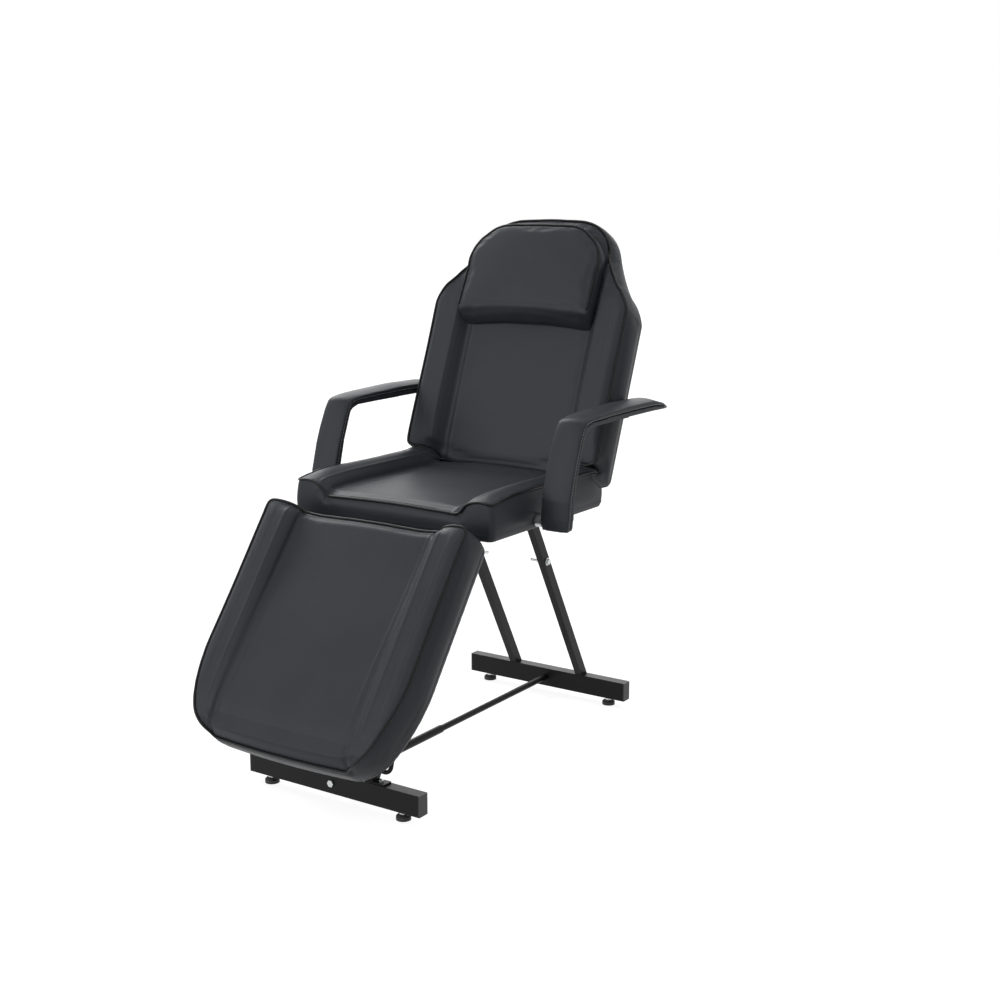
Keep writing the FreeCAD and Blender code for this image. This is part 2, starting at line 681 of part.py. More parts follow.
def make_section_bars():
    make_bars("back", size("back_bar_start"), "back_bar_length", BACK_BAR_DROP, 1, BACK_HINGE)
    make_bars("legrest", size("legrest_bar_start"), "legrest_bar_length", LEGREST_BAR_DROP, -1,
              LEGREST_HINGE, size("legrest_prop_reach"))


def quadrant(side, drop):
    """A sector plate about the hinge with a round slot in which the clamp bolt runs."""
    swing = math.radians(size("back_recline_angle"))
    first = CLAMP_TURN - swing
    radius, half = size("quadrant_radius"), size("hinge_bolt_diameter") / 2 + size("gap_clearance")
    rim = half + size("quadrant_rim")
    inner = size("bar_width") / 2 * side

    def spot(reach, turn):
        return Vector(inner, reach * math.cos(turn), drop + reach * math.sin(turn))

    def band(width):
        """The region within a width of the clamp bolt's path."""
        middle = first + swing / 2
        last = first + swing
        outer, inner_edge, cap = radius + width, radius - width, width / radius
        edges = [Part.Arc(spot(outer, first), spot(outer, middle), spot(outer, last)),
                 Part.Arc(spot(outer, last), spot(radius, last + cap), spot(inner_edge, last)),
                 Part.Arc(spot(inner_edge, last), spot(inner_edge, middle), spot(inner_edge, first)),
                 Part.Arc(spot(inner_edge, first), spot(radius, first - cap), spot(outer, first))]
        return Part.Face(Part.Wire([edge.toShape() for edge in edges]))

    def solid(face):
        return face.extrude(Vector(side * size("ear_thickness"), 0, 0))

    hub = Part.Face(Part.makePolygon([spot(0, first), spot(radius, first), spot(radius, first + swing / 2),
                                      spot(radius, first + swing), spot(0, first)]))
    return solid(band(rim)).fuse([solid(hub)]).cut(solid(band(half))).removeSplitter()


def make_hinge_bolts():
    bolt = fastener("HingeBolt", "<bolt_head_width>", "<bolt_head_height>", "<hinge_bolt_diameter>",
                    "2 * <ear_thickness> + 2 * <gap_clearance> + <nut_height> + <thread_end>")
    lock = nut("Nut", "<bolt_head_width>", "<nut_height>", "<hinge_bolt_diameter> + 2 * <press_clearance>")
    nuts = []
    outer = EAR_X + 2 * size("ear_thickness") + 2 * size("gap_clearance")
    for label, y, z in (("back_hinge_bolts", size("back_hinge_y"), size("back_hinge_z")),
                        ("legrest_hinge_bolts", size("leg_hinge_y"), size("leg_hinge_z"))):
        copies(label, bolt, [turned(side * EAR_X, y, z, Vector(0, 1, 0), side * 90) for side in (-1, 1)])
        nuts += [turned(side * outer, y, z, Vector(0, 1, 0), side * 90) for side in (-1, 1)]
    copies("hinge_nuts", lock, nuts)


def make_clamps():
    """A bolt through each quadrant's slot, with a washer outside and a lobed knob inside."""
    outside = EAR_X + 2 * size("ear_thickness") + 2 * size("gap_clearance") + size("washer_thickness")
    bolt = fastener("ClampBolt", "<bolt_head_width>", "<bolt_head_height>", "<hinge_bolt_diameter>",
                    "2 * <ear_thickness> + 2 * <gap_clearance> + <washer_thickness> + <knob_grip>")
    knob = doc.addObject("PartDesign::Body", "Knob")
    sketch = new_sketch(knob, "XY_Plane", "Round")
    circle(sketch, "<knob_diameter>")
    circle(sketch, "<hinge_bolt_diameter> + 2 * <press_clearance>")
    pad(knob, sketch, "<knob_length>")
    flute = new_sketch(knob, "XY_Plane", "Flute", across="<knob_flute_reach>")
    circle(flute, "<knob_flute_diameter>")
    pocket = knob.newObject("PartDesign::Pocket", "Flutes")
    pocket.Profile = flute
    pocket.Type = 1
    pocket.Midplane = True
    knob.Tip = pocket
    doc.recompute()
    ring = knob.newObject("PartDesign::PolarPattern", "FluteRing")
    ring.Originals = [pocket]
    ring.Axis = (sketch, ["N_Axis"])
    ring.Angle = 360
    ring.setExpression("Occurrences", cells("<knob_lobe_count>"))
    knob.Tip = ring
    doc.recompute()
    placed = [turned(side * outside, CLAMP.y, CLAMP.z, Vector(0, 1, 0), -side * 90) for side in (-1, 1)]
    copies("clamp_bolts", bolt, placed)
    for hand, side in (("right", -1), ("left", 1)):
        copies("%s_clamp_knob" % hand, knob,
               [turned(side * EAR_X, CLAMP.y, CLAMP.z, Vector(0, 1, 0), -side * 90)])
    return placed


# The leg rest's prop and the notched plates that it stands in

def front_leg_frame():
    """The front legs' outward and upward directions, and a point of the prop rod's line at the beam."""
    out = Vector(0, -math.cos(LEAN), math.sin(LEAN))
    along = Vector(0, math.sin(LEAN), math.cos(LEAN))
    lift = size("leg_depth") / 2 + size("rack_lift")
    return out, along, Vector(0, leg_y(BEAM_TOP, -1), BEAM_TOP) + out * lift


def prop_pivot(drop_angle):
    """Where the prop's pivot is when the leg rest hangs at an angle below level."""
    hinge = Vector(0, size("leg_hinge_y"), size("leg_hinge_z"))
    place = Placement(hinge, Rotation(Vector(1, 0, 0), drop_angle))
    return place.multVec(Vector(0, -size("legrest_prop_reach"), -LEGREST_BAR_DROP))


def prop_foot(pivot):
    """The point of the rod's line that lies the prop's length from its pivot."""
    out, along, base = front_leg_frame()
    aside = (pivot - base).dot(out)
    climb = (pivot - base).dot(along) - math.sqrt(size("legrest_prop_length") ** 2 - aside ** 2)
    return base + along * climb


def turn_of(vector):
    return math.atan2(vector.z, vector.y)


def prop_turn():
    """How far the prop turns, in the chair's frame, while the leg rest rises from rest to level."""
    low, high = prop_pivot(size("leg_drop_angle")), prop_pivot(0)
    return turn_of(prop_foot(high) - high) - turn_of(prop_foot(low) - low)


def rod_path(steps):
    """The cross rod's centre while the leg rest rises, the prop turning at a steady ratio to it."""
    drop, reach = size("leg_drop_angle"), size("legrest_prop_length")
    low = prop_pivot(drop)
    start, swing = turn_of(prop_foot(low) - low), prop_turn()
    path = []
    for step in range(steps + 1):
        share = step / steps
        turn = start + swing * share
        path.append(prop_pivot(drop * (1 - share)) + Vector(0, math.cos(turn), math.sin(turn)) * reach)
    return path


def strip(first, last, half):
    """A flat round-ended strip between two points, in the plane across X."""
    aside = Vector(1, 0, 0).cross((last - first).normalize()) * half
    corners = [first + aside, last + aside, last - aside, first - aside]
    face = Part.Face(Part.makePolygon(corners + corners[:1]))
    discs = [Part.Face(Part.Wire(Part.makeCircle(half, point, Vector(1, 0, 0)))) for point in (first, last)]
    return face.fuse(discs)


def make_racks():
    """A plate beside each front leg, with a slot along the cross rod's path and notches to drop into."""
    out, along, base = front_leg_frame()
    path = rod_path(PATH_STEP_COUNT)
    half = size("prop_rod_diameter") / 2 + 2 * size("gap_clearance")
    rim, depth = size("rack_rim"), size("rack_notch_depth")
    slant = (out * NOTCH_SHARES[0] - along * NOTCH_SHARES[1]).normalize()
    back = size("rack_lift") + size("rack_grip")
    wide = half + rim
    corners = [path[0] - along * wide - out * back, path[0] - along * wide + out * (half + rim),
               path[0] - along * half + out * (wide + depth)]
    corners += [path[-1] + along * half + out * (wide + depth), path[-1] + along * wide + out * (half + rim),
                path[-1] + along * wide - out * back]
    plate = Part.Face(Part.makePolygon(corners + corners[:1]))
    slots = [strip(first, last, half) for first, last in zip(path, path[1:])]
    count = int(size("rack_notch_count"))
    for notch in range(count):
        share = (notch + 0.5) / count
        seat = path[0] + (path[-1] - path[0]) * share
        seat += out * out.dot(path[int(share * PATH_STEP_COUNT)] - seat)
        slots.append(strip(seat, seat + slant * depth, half))
    plate = plate.cut(slots[0].multiFuse(slots[1:]))
    thickness = size("rack_thickness")
    inner = LEG_X - size("leg_width") / 2
    for hand, side in (("right", -1), ("left", 1)):
        x = inner - thickness if side > 0 else -inner
        rack = feature(plate.extrude(Vector(thickness, 0, 0)), "Rack")
        keep(rack, "%s_legrest_rack" % hand, turned(x, 0, 0))


def make_leg_bolts(clamps):
    """A long bolt through each rear leg, its nut on the inner side, and the washers of all such bolts."""
    bolt = fastener("LegBolt", "<bolt_head_width>", "<bolt_head_height>", "<tie_bolt_diameter>",
                    "<leg_bolt_length>")
    washer = doc.addObject("PartDesign::Body", "Washer")
    sketch = new_sketch(washer, "XY_Plane", "Ring")
    circle(sketch, "<washer_diameter>")
    circle(sketch, "<tie_bolt_diameter> + 2 * <press_clearance>")
    pad(washer, sketch, "<washer_thickness>")
    lock = nut("LegNut", "<bolt_head_width>", "<nut_height>", "<tie_bolt_diameter> + 2 * <press_clearance>")
    height = size("leg_bolt_height")
    outer = LEG_X + size("leg_width") / 2
    inner = LEG_X - size("leg_width") / 2
    y = leg_y(height, 1)
    axis = Vector(0, 1, 0)
    placed = [turned(side * (outer + size("washer_thickness")), y, height, axis, -side * 90)
              for side in (-1, 1)]
    copies("rear_leg_bolts", bolt, placed)
    copies("bolt_washers", washer, placed + clamps)
    copies("rear_leg_nuts", lock, [turned(side * inner, y, height, axis, -side * 90) for side in (-1, 1)])


def rounded_path(points, radius):
    """A path of straight runs through the points with a round bend at each corner."""
    edges = []
    last = points[0]
    for before, corner, after in zip(points, points[1:], points[2:]):
        come = (before - corner).normalize()
        go = (after - corner).normalize()
        half = come.getAngle(go) / 2
        back = radius / math.tan(half)
        start, end = corner + come * back, corner + go * back
        centre = corner + (come + go).normalize() * (radius / math.sin(half))
        middle = centre + (corner - centre).normalize() * radius
        edges.append(Part.makeLine(last, start))
        edges.append(Part.Arc(start, middle, end).toShape())
        last = end
    edges.append(Part.makeLine(last, points[-1]))
    return Part.Wire(edges)


def make_prop():
    """One rod: a stub through each bar, a side arm down each side and the cross rod between them."""
    half = size("prop_half_width")
    stub = BAR_X - size("bar_width") / 2 - size("gap_clearance") * 2
    pivot = prop_pivot(size("leg_drop_angle"))
    low = prop_foot(pivot)
    points = [Vector(-stub, pivot.y, pivot.z), Vector(-half, pivot.y, pivot.z), Vector(-half, low.y, low.z),
              Vector(half, low.y, low.z), Vector(half, pivot.y, pivot.z), Vector(stub, pivot.y, pivot.z)]
    path = rounded_path(points, size("prop_bend_radius"))
    ring = Part.Wire(Part.makeCircle(size("prop_rod_diameter") / 2, points[0], Vector(-1, 0, 0)))
    keep(feature(path.makePipeShell([ring], True, False, 2), "Prop"), "legrest_prop")
    ratio = math.degrees(prop_turn()) / -size("leg_drop_angle")
    print("prop pivot %.3f %.3f" % (pivot.y, pivot.z), "turn per turn of the leg rest %.5f" % (ratio - 1))


# Upholstered pads: an outline stacked through the pad's thickness, cut by a crowned top

def outline(level, half, start, length, rise, shoulder, top, way):
    """A closed outline at one level: the end at the hinge, straight sides, then the shaped far end."""
    corner = half * CORNER_SHARE
    bow = corner * CORNER_BOW_SHARE
    near = [("line", (half * NEAR_END_SHARES[1], rise)), ("line", (half - corner, rise)),
            ("arc", (half - bow, rise + bow), (half, rise + corner)),
            ("line", (half, length * shoulder))]
    far = [(step[0],) + tuple((half * x, length * y) for x, y in step[1:]) for step in top]
    right = near + far
    spots = [(half * NEAR_END_SHARES[0], 0)] + [step[-1] for step in right]
    edges = []

    def spot(place, side=1):
        return Vector(side * place[0], way * (start + place[1]), level)

    def edge(step, first, last, side):
        if step[0] == "line":
            return Part.makeLine(spot(first, side), spot(last, side))
        return Part.Arc(spot(first, side), spot(step[1], side), spot(last, side)).toShape()

    for number, step in enumerate(right):
        edges.append(edge(step, spots[number], spots[number + 1], 1))
    end = spots[-1]
    if end[1] < length:
        edges.append(Part.Arc(spot(end), spot((0, length)), spot(end, -1)).toShape())
    else:
        edges.append(Part.makeLine(spot(end), spot(end, -1)))
    for number in reversed(range(len(right))):
        edges.append(edge(right[number], spots[number + 1], spots[number], -1))
    edges.append(Part.makeLine(spot(spots[0], -1), spot(spots[0])))
    return Part.Wire(edges)


def crown_section(y, half, base, heights, foot):
    """A slice across a pad: flat below, a bolster on each side and a channel at the foot of each."""
    edge, crest, middle = heights
    edges = [Part.makeLine(Vector(-half, y, base), Vector(half, y, base)),
             Part.makeLine(Vector(half, y, base), Vector(half, y, edge))]
    if foot:
        channel = middle - (crest - middle) * CHANNEL_SHARE
        top = foot + (half - foot) * CREST_PLACE_SHARE
        for first, through, last in (
                ((half, edge), (top, crest), (foot, channel)),
                ((foot, channel), (0, middle), (-foot, channel)),
                ((-foot, channel), (-top, crest), (-half, edge))):
            edges.append(Part.Arc(Vector(first[0], y, first[1]), Vector(through[0], y, through[1]),
                                  Vector(last[0], y, last[1])).toShape())
    else:
        edges.append(Part.Arc(Vector(half, y, edge), Vector(0, y, middle), Vector(-half, y, edge)).toShape())
    edges.append(Part.makeLine(Vector(-half, y, edge), Vector(-half, y, base)))
    return Part.Wire(edges)


def padded(form, bottom, crown, foot):
    """A pad's solid: the stacked outline and the crowned form where both are."""
    thick = form["thickness"]
    levels = [outline(bottom + thick * rise, form["half"] - inset, form["start"] + shift,
                      form["length"] - shift - inset, form["rise"], form["shoulder"], form["top"], form["way"])
              for rise, inset, shift in form["stack"]]
    body = Part.makeLoft(levels, True, False)
    spare = size("board_inset")
    slices = []
    for place, edge, crest, middle in crown:
        y = form["way"] * (form["start"] - spare + (form["length"] + 2 * spare) * place)
        heights = [bottom + thick * share for share in (edge, crest, middle)]
        slices.append(crown_section(y, form["half"] + size("cut_overrun"), bottom - spare, heights, foot))
    return body.common(Part.makeLoft(slices, True, False))


def board_shape(form, bottom, inset, thickness, fit=0):
    """The board in a pad's underside, or with a fit the pocket that it lies in."""
    wire = outline(bottom, form["half"] - inset + fit, form["start"] + inset - fit,
                   form["length"] - 2 * (inset - fit), form["rise"], form["shoulder"], form["top"], form["way"])
    return Part.Face(wire).extrude(Vector(0, 0, thickness + (size("gap_clearance") if fit else 0)))


def stack(*insets):
    """The levels of a pad's outline with the side's and the hinge end's set-in at each."""
    return [(share,) + inset for share, inset in zip(STACK_SHARES, insets)]


def pad_forms():
    """The three pads' outlines, each from its hinge end."""
    tuck, thick = size("side_tuck"), size("pad_thickness")
    slack, half = tuck * TUCK_SHARE, size("seat_width") / 2
    seat = {"thickness": thick, "half": half, "start": -size("seat_depth") / 2,
            "length": size("seat_depth"), "rise": 0, "shoulder": 1 - SEAT_CORNER_SHARE, "top": SEAT_TOP_SHARES,
            "way": 1, "stack": stack((tuck, tuck), (slack, slack), (0, 0), (0, 0))}
    back = {"thickness": thick, "half": half + size("back_side_reach"), "start": size("back_start"),
            "length": size("back_length"), "rise": size("back_side_rise"), "shoulder": BACK_SHOULDER_SHARE,
            "top": BACK_TOP_SHARES, "way": 1}
    tilt = size("back_end_tilt")
    back["stack"] = stack((tuck, tuck / 2 - tilt), (slack, -tilt), (0, 0), (0, 0))
    legrest = {"thickness": thick, "half": half + size("legrest_side_reach"), "start": size("legrest_start"),
               "length": size("legrest_length"), "rise": size("legrest_side_rise"),
               "shoulder": LEGREST_SHOULDER_SHARE, "top": LEGREST_TOP_SHARES, "way": -1}
    tilt = size("legrest_end_tilt")
    legrest["stack"] = stack((tuck, tilt + tuck), (slack, tilt), (0, tilt / 2), (0, 0))
    return seat, back, legrest


def make_seat(form):
    bottom = size("seat_underside")
    inset, thick = size("board_inset"), size("board_thickness")
    foot = form["half"] - size("bolster_width")
    cushion = padded(form, bottom, SEAT_CROWN_SHARES, foot)
    rear, level = size("seat_depth") / 2, bottom + size("pad_thickness") * SEAT_REAR_SHARE
    bevel, drop = size("seat_rear_bevel"), size("seat_rear_drop")
    wedge = [Vector(0, rear - 2 * bevel, level + drop), Vector(0, rear + bevel, level - 2 * drop),
             Vector(0, rear + bevel, level + drop)]
    cut = Part.Face(Part.makePolygon(wedge + wedge[:1])).extrude(Vector(4 * form["half"], 0, 0))
    cut.translate(Vector(-2 * form["half"], 0, 0))
    cushion = cushion.cut([cut, board_shape(form, bottom, inset, thick, size("hole_clearance"))])
    board = board_shape(form, bottom, inset, thick)
    rail_length = RAIL_REAR - RAIL_FRONT
    screws = []
    for side in (-1, 1):
        for y in screw_places(-rail_length / 2, rail_length * RAIL_SCREW_SHARE):
            hole = Part.makeCylinder(SCREW_HOLE / 2, thick, Vector(side * LEG_X, RAIL_MIDDLE + y, bottom))
            board = board.cut(hole)
            screws.append(turned(side * LEG_X, RAIL_MIDDLE + y, RAIL_BOTTOM))
    block_x = form["half"] - inset - size("arm_block_width")
    stud_y, stud_z = ARM_STUD_Y, ARM_STUD_Z
    stud = size("arm_stud_diameter") / 2
    blocks, studs, spacers = [], [], []
    block = doc.addObject("PartDesign::Body", "ArmBlock")
    sketch = new_sketch(block, "YZ_Plane", "Outline")
    rectangle(sketch, "<arm_block_length>", "<arm_block_height>")
    pad(block, sketch, "<arm_block_width>")
    drill(block, "YZ_Plane", "<arm_stud_diameter> + 2 * <press_clearance>",
          up="<arm_stud_rise> - <board_thickness> - <arm_block_height> / 2")
    block_z = bottom + thick + size("arm_block_height") / 2
    fit = size("hole_clearance")
    for side in (-1, 1):
        x = side * block_x if side > 0 else -block_x - size("arm_block_width")
        blocks.append(turned(x, stud_y, block_z))
        room = Part.makeBox(size("arm_block_width") + 2 * fit, size("arm_block_length") + 2 * fit,
                            size("arm_block_height") + fit + thick)
        room.translate(Vector(x - fit, stud_y - size("arm_block_length") / 2 - fit, bottom))
        inner_end = Vector(side * (form["half"] - size("board_inset") - 2 * fit), stud_y, stud_z)
        keep_out = Part.makeCylinder(stud + fit, size("board_inset") + 4 * fit, inner_end, Vector(side, 0, 0))
        cushion = cushion.cut([room, keep_out])
        spacer_x = form["half"] + fit + size("gap_clearance")
        spacers.append(turned(side * spacer_x, stud_y, stud_z, Vector(0, 1, 0), side * 90))
        start = form["half"] + size("arm_gap") + size("arm_stud_grip") - size("arm_stud_length")
        studs.append(turned(side * start, stud_y, stud_z, Vector(0, 1, 0), side * 90))
    keep(feature(board, "SeatBoard"), "seat_board")
    keep(feature(cushion, "SeatCushion"), "seat_cushion")
    copies("arm_blocks", block, blocks)
    screw = screw_master("<rail_height> + <screw_grip>")
    copies("seat_screws", screw, screws)
    rod = doc.addObject("PartDesign::Body", "ArmStud")
    sketch = new_sketch(rod, "XY_Plane", "Round")
    circle(sketch, "<arm_stud_diameter>")
    pad(rod, sketch, "<arm_stud_length>")
    copies("arm_studs", rod, studs)
    spacer = doc.addObject("PartDesign::Body", "ArmSpacer")
    sketch = new_sketch(spacer, "XY_Plane", "Ring")
    circle(sketch, "<spacer_diameter>")
    circle(sketch, "<arm_stud_diameter> + 2 * <press_clearance>")
    pad(spacer, sketch, "<arm_gap> - <hole_clearance> - <gap_clearance>")
    copies("arm_spacers", spacer, spacers)


def screw_master(length):
    return fastener("Screw", "<screw_head_diameter>", "<screw_head_height>", "<screw_diameter>", length, True)


def make_hinged_pad(form, section, crown, hinge, face_height, bar_start, bar_length, bar_drop):
    bottom = face_height - size("pad_thickness")
    inset, thick = size("board_inset"), size("board_thickness")
    foot = form["half"] - size("bolster_width")
    cushion = padded(form, bottom, crown, foot)
    cushion = cushion.cut(board_shape(form, bottom, inset, thick, size("hole_clearance")))
    board = board_shape(form, bottom, inset, thick)
    screws = []
    for side in (-1, 1):
        for reach in screw_places(bar_start, bar_length):
            y = form["way"] * reach
            board = board.cut(Part.makeCylinder(SCREW_HOLE / 2, thick, Vector(side * BAR_X, y, bottom)))
            screws.append(hinge.multiply(turned(side * BAR_X, y, bottom - size("bar_height"))))
    keep(feature(board, "Board"), "%s_board" % section, hinge)
    keep(feature(cushion, "Cushion"), "%s_cushion" % section, hinge)
    screw = screw_master("<bar_height> + <screw_grip>")
    copies("%s_screws" % section, screw, screws)
    return cushion


def make_pillow(cushion):
    """The head pillow lies on the backrest's face, shaped to it, with a fold along its lower edge."""
    fold = size("pillow_fold")
    start = size("back_start") + size("pillow_start") - size("pillow_offset")
    form = {"thickness": size("pillow_height"), "half": size("pillow_width") / 2, "start": start,
            "length": size("pillow_length"), "rise": 0, "shoulder": PILLOW_SHOULDER_SHARE,
            "top": PILLOW_TOP_SHARES, "way": 1,
            "stack": [(rise, fold * side, fold * lower) for rise, side, lower in PILLOW_STACK_SHARES]}
    bottom = size("back_face_height") - size("pad_thickness") * PILLOW_SEAT_SHARE
    pillow = padded(form, bottom, PILLOW_CROWN_SHARES, None)
    clear = cushion.copy()
    clear.translate(Vector(0, 0, size("gap_clearance")))
    pillow = pillow.cut(clear)
    pieces = sorted(pillow.Solids, key=lambda solid: solid.Volume)
    keep(feature(pieces[-1], "Pillow"), "head_pillow", BACK_HINGE)


def arm_section(place, side, low, high, inset):
    """A slice of an armrest between two shares of its depth, crowned on the outer side."""
    outer, inner, width = place
    spots = []
    for along, up in (inner, outer):
        spots.append(Vector(0, size("arm_front") + size("arm_reach") * along,
                            ARM_STUD_Z - size("arm_foot_drop") + size("arm_rise") * up))
    centre = side * (size("seat_width") / 2 + size("arm_gap") + size("arm_width") / 2)
    half = size("arm_width") / 2 * width - inset

    def spot(x, share):
        point = spots[0] + (spots[1] - spots[0]) * share
        return Vector(centre + x, point.y, point.z)

    bottom_left, bottom_right = spot(-half, low), spot(half, low)
    edges = [Part.makeLine(bottom_left, bottom_right)]
    if high < 1:
        right, left = spot(half, high), spot(-half, high)
        edges += [Part.makeLine(*ends) for ends in ((bottom_right, right), (right, left), (left, bottom_left))]
    else:
        right, left = spot(half, ARM_SHOULDER_SHARE), spot(-half, ARM_SHOULDER_SHARE)
        edges += [Part.makeLine(bottom_right, right), Part.Arc(right, spot(0, 1), left).toShape(),
                  Part.makeLine(left, bottom_left)]
    return Part.Wire(edges)


def make_arms():
    """Each armrest is a crowned outer pad on a covered board, bent from the post into the rest."""
    for hand, side in (("right", -1), ("left", 1)):
        slices = [arm_section(place, side, ARM_SEAM_SHARE, 1, 0) for place in ARM_SHARES]
        keep(feature(Part.makeLoft(slices, True, True), "ArmPad"), "%s_arm_pad" % hand)
        slices = [arm_section(place, side, 0, ARM_SEAM_SHARE, size("hole_clearance")) for place in ARM_SHARES]
        board = Part.makeLoft(slices, True, True)
        start = side * (size("seat_width") / 2)
        hole = Part.makeCylinder(size("arm_stud_diameter") / 2 + size("press_clearance"),
                                 size("arm_gap") + size("arm_stud_grip") + size("hole_clearance"),
                                 Vector(start, ARM_STUD_Y, ARM_STUD_Z), Vector(side, 0, 0))
        keep(feature(board.cut(hole), "ArmBoard"), "%s_arm_board" % hand)


def make_pads():
    seat, back, legrest = pad_forms()
    make_seat(seat)
    cushion = make_hinged_pad(back, "back", BACK_CROWN_SHARES, BACK_HINGE, size("back_face_height"),
                              size("back_bar_start"), size("back_bar_length"), BACK_BAR_DROP)
    make_pillow(cushion)
    make_hinged_pad(legrest, "legrest", LEGREST_CROWN_SHARES, LEGREST_HINGE, size("legrest_face_height"),
                    size("legrest_bar_start"), size("legrest_bar_length"), LEGREST_BAR_DROP)


def check(items):
    for item in items:
        failed = "Invalid" in item.State or "Error" in item.State
        if failed or item.Shape.isNull() or not item.Shape.isValid():
            raise ValueError("%s did not build" % item.Label)


def main():
    make_beams()
    make_caps()
    make_feet()
    make_tie_rod()
    make_legs()
    make_foot_plates()
    make_rails()
    make_section_bars()
    make_hinge_bolts()
    make_leg_bolts(make_clamps())
    make_racks()
    make_prop()
    make_pads()
    make_arms()
    doc.recompute()
    check(SUBPARTS)
    os.makedirs("parts", exist_ok=True)
    for item in SUBPARTS:
        item.Shape.exportStep("parts/%s.step" % item.Label)
    print(len(SUBPARTS), "sub-parts")


main()
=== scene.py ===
# %% [markdown]
# # A reclining treatment chair
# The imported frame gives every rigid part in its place: tubes, bolts, boards and hinges. What is left is
# what the hand of an upholsterer and a paint shop adds: stuffed covers, welts, stitches and finishes.
# Everything is in metres, with X to the sitter's left, the sitter facing -Y, and Z up from the floor.

import json
import math

import bmesh
import bpy
import numpy as np
from mathutils import Euler, Matrix, Vector
from mathutils.bvhtree import BVHTree
from mathutils.kdtree import KDTree


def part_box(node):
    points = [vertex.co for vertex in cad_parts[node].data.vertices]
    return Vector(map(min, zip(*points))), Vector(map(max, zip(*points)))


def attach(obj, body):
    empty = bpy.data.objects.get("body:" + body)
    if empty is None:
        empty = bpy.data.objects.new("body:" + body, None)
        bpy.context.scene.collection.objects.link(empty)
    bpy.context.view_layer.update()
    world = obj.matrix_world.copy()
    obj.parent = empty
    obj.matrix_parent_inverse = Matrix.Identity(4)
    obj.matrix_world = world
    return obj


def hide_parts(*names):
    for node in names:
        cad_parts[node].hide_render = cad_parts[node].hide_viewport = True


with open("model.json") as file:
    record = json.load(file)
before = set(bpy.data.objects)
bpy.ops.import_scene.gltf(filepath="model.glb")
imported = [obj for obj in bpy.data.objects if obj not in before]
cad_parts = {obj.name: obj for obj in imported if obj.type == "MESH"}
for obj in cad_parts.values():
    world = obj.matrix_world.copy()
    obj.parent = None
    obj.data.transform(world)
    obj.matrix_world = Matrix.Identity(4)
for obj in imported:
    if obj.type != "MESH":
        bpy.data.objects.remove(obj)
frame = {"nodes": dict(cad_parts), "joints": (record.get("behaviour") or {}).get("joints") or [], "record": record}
MM = 0.001
nodes = frame["nodes"]
joints = {joint["name"]: joint for joint in frame["joints"]}


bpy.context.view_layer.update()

# %% [markdown]
# ## Camera, floor and light
# The camera stands a little to the sitter's left at head height, with a mild telephoto lens, as a
# catalogue photographer would place it. The floor and the surroundings are white to the camera and to
# glossy surfaces. A dim white sky and four soft lamps light the chair itself: the key lamp from the
# sitter's right, a low one from the front, a faint one from behind and one from above. Black leather
# then keeps its dark sides and still shows a sheen on top.

# %% Camera
CAMERA_PLACE = (2.068, -2.890, 1.344)
CAMERA_TURN_DEG = (78.46, 0.0, 33.65)
SENSOR_MM = 36.0
LENS_MM = 53.38

scene = bpy.context.scene
camera_data = bpy.data.cameras.new("camera")
camera_data.sensor_width = SENSOR_MM
camera_data.lens = LENS_MM
camera = bpy.data.objects.new("camera", camera_data)
camera.location = CAMERA_PLACE
camera.rotation_euler = Euler([math.radians(turn) for turn in CAMERA_TURN_DEG])
scene.collection.objects.link(camera)
scene.camera = camera
scene.view_settings.view_transform = "Standard"

# %% Helpers for colours and shader nodes


def linear(hex_colour):
    """An sRGB hex colour as the linear RGBA that shaders take."""
    parts = [int(hex_colour[place:place + 2], 16) / 255 for place in (1, 3, 5)]
    curve = [part / 12.92 if part <= 0.04045 else ((part + 0.055) / 1.055) ** 2.4 for part in parts]
    return (*curve, 1.0)


def add_node(tree, kind, links=(), **settings):
    """Add one node with its properties and input values, and link other sockets into it."""
    node = tree.nodes.new(kind)
    for name, value in settings.items():
        if hasattr(node, name):
            setattr(node, name, value)
        else:
            node.inputs[name.replace("_", " ")].default_value = value
    for socket, source in links:
        tree.links.new(source, node.inputs[socket])
    return node


# %% Floor and sky
FLOOR_SIZE = 60.0
SKY_LIGHT = 0.2
FLOOR_SHARE_OF_LIGHT = 0.34
FLOOR_GLOW = 0.86
WHITE = (1.0, 1.0, 1.0, 1.0)


def floor_material():
    """White seamless paper: it glows for the camera and still takes the chair's shadow."""
    material = bpy.data.materials.new("seamless_paper")
    material.use_nodes = True
    tree = material.node_tree
    tree.nodes.clear()
    path = add_node(tree, "ShaderNodeLightPath")
    paper = add_node(tree, "ShaderNodeBsdfDiffuse", Color=linear("#a6a6a6"))
    tinted = add_node(tree, "ShaderNodeBsdfDiffuse", Color=(FLOOR_SHARE_OF_LIGHT,) * 3 + (1.0,))
    glow = add_node(tree, "ShaderNodeEmission", Color=WHITE, Strength=FLOOR_GLOW)
    lit = add_node(tree, "ShaderNodeAddShader", [(0, tinted.outputs[0]), (1, glow.outputs[0])])
    seen = add_node(tree, "ShaderNodeMath",
                    [(0, path.outputs["Is Camera Ray"]), (1, path.outputs["Is Glossy Ray"])],
                    operation="MAXIMUM")
    mixed = add_node(tree, "ShaderNodeMixShader",
                     [(0, seen.outputs[0]), (1, paper.outputs[0]), (2, lit.outputs[0])])
    add_node(tree, "ShaderNodeOutputMaterial", [("Surface", mixed.outputs[0])])
    return material


half = FLOOR_SIZE / 2
floor_mesh = bpy.data.meshes.new("floor")
floor_mesh.from_pydata([(-half, -half, 0), (half, -half, 0), (half, half, 0), (-half, half, 0)], [],
                       [(0, 1, 2, 3)])
floor = bpy.data.objects.new("floor", floor_mesh)
scene.collection.objects.link(floor)
floor_mesh.materials.append(floor_material())

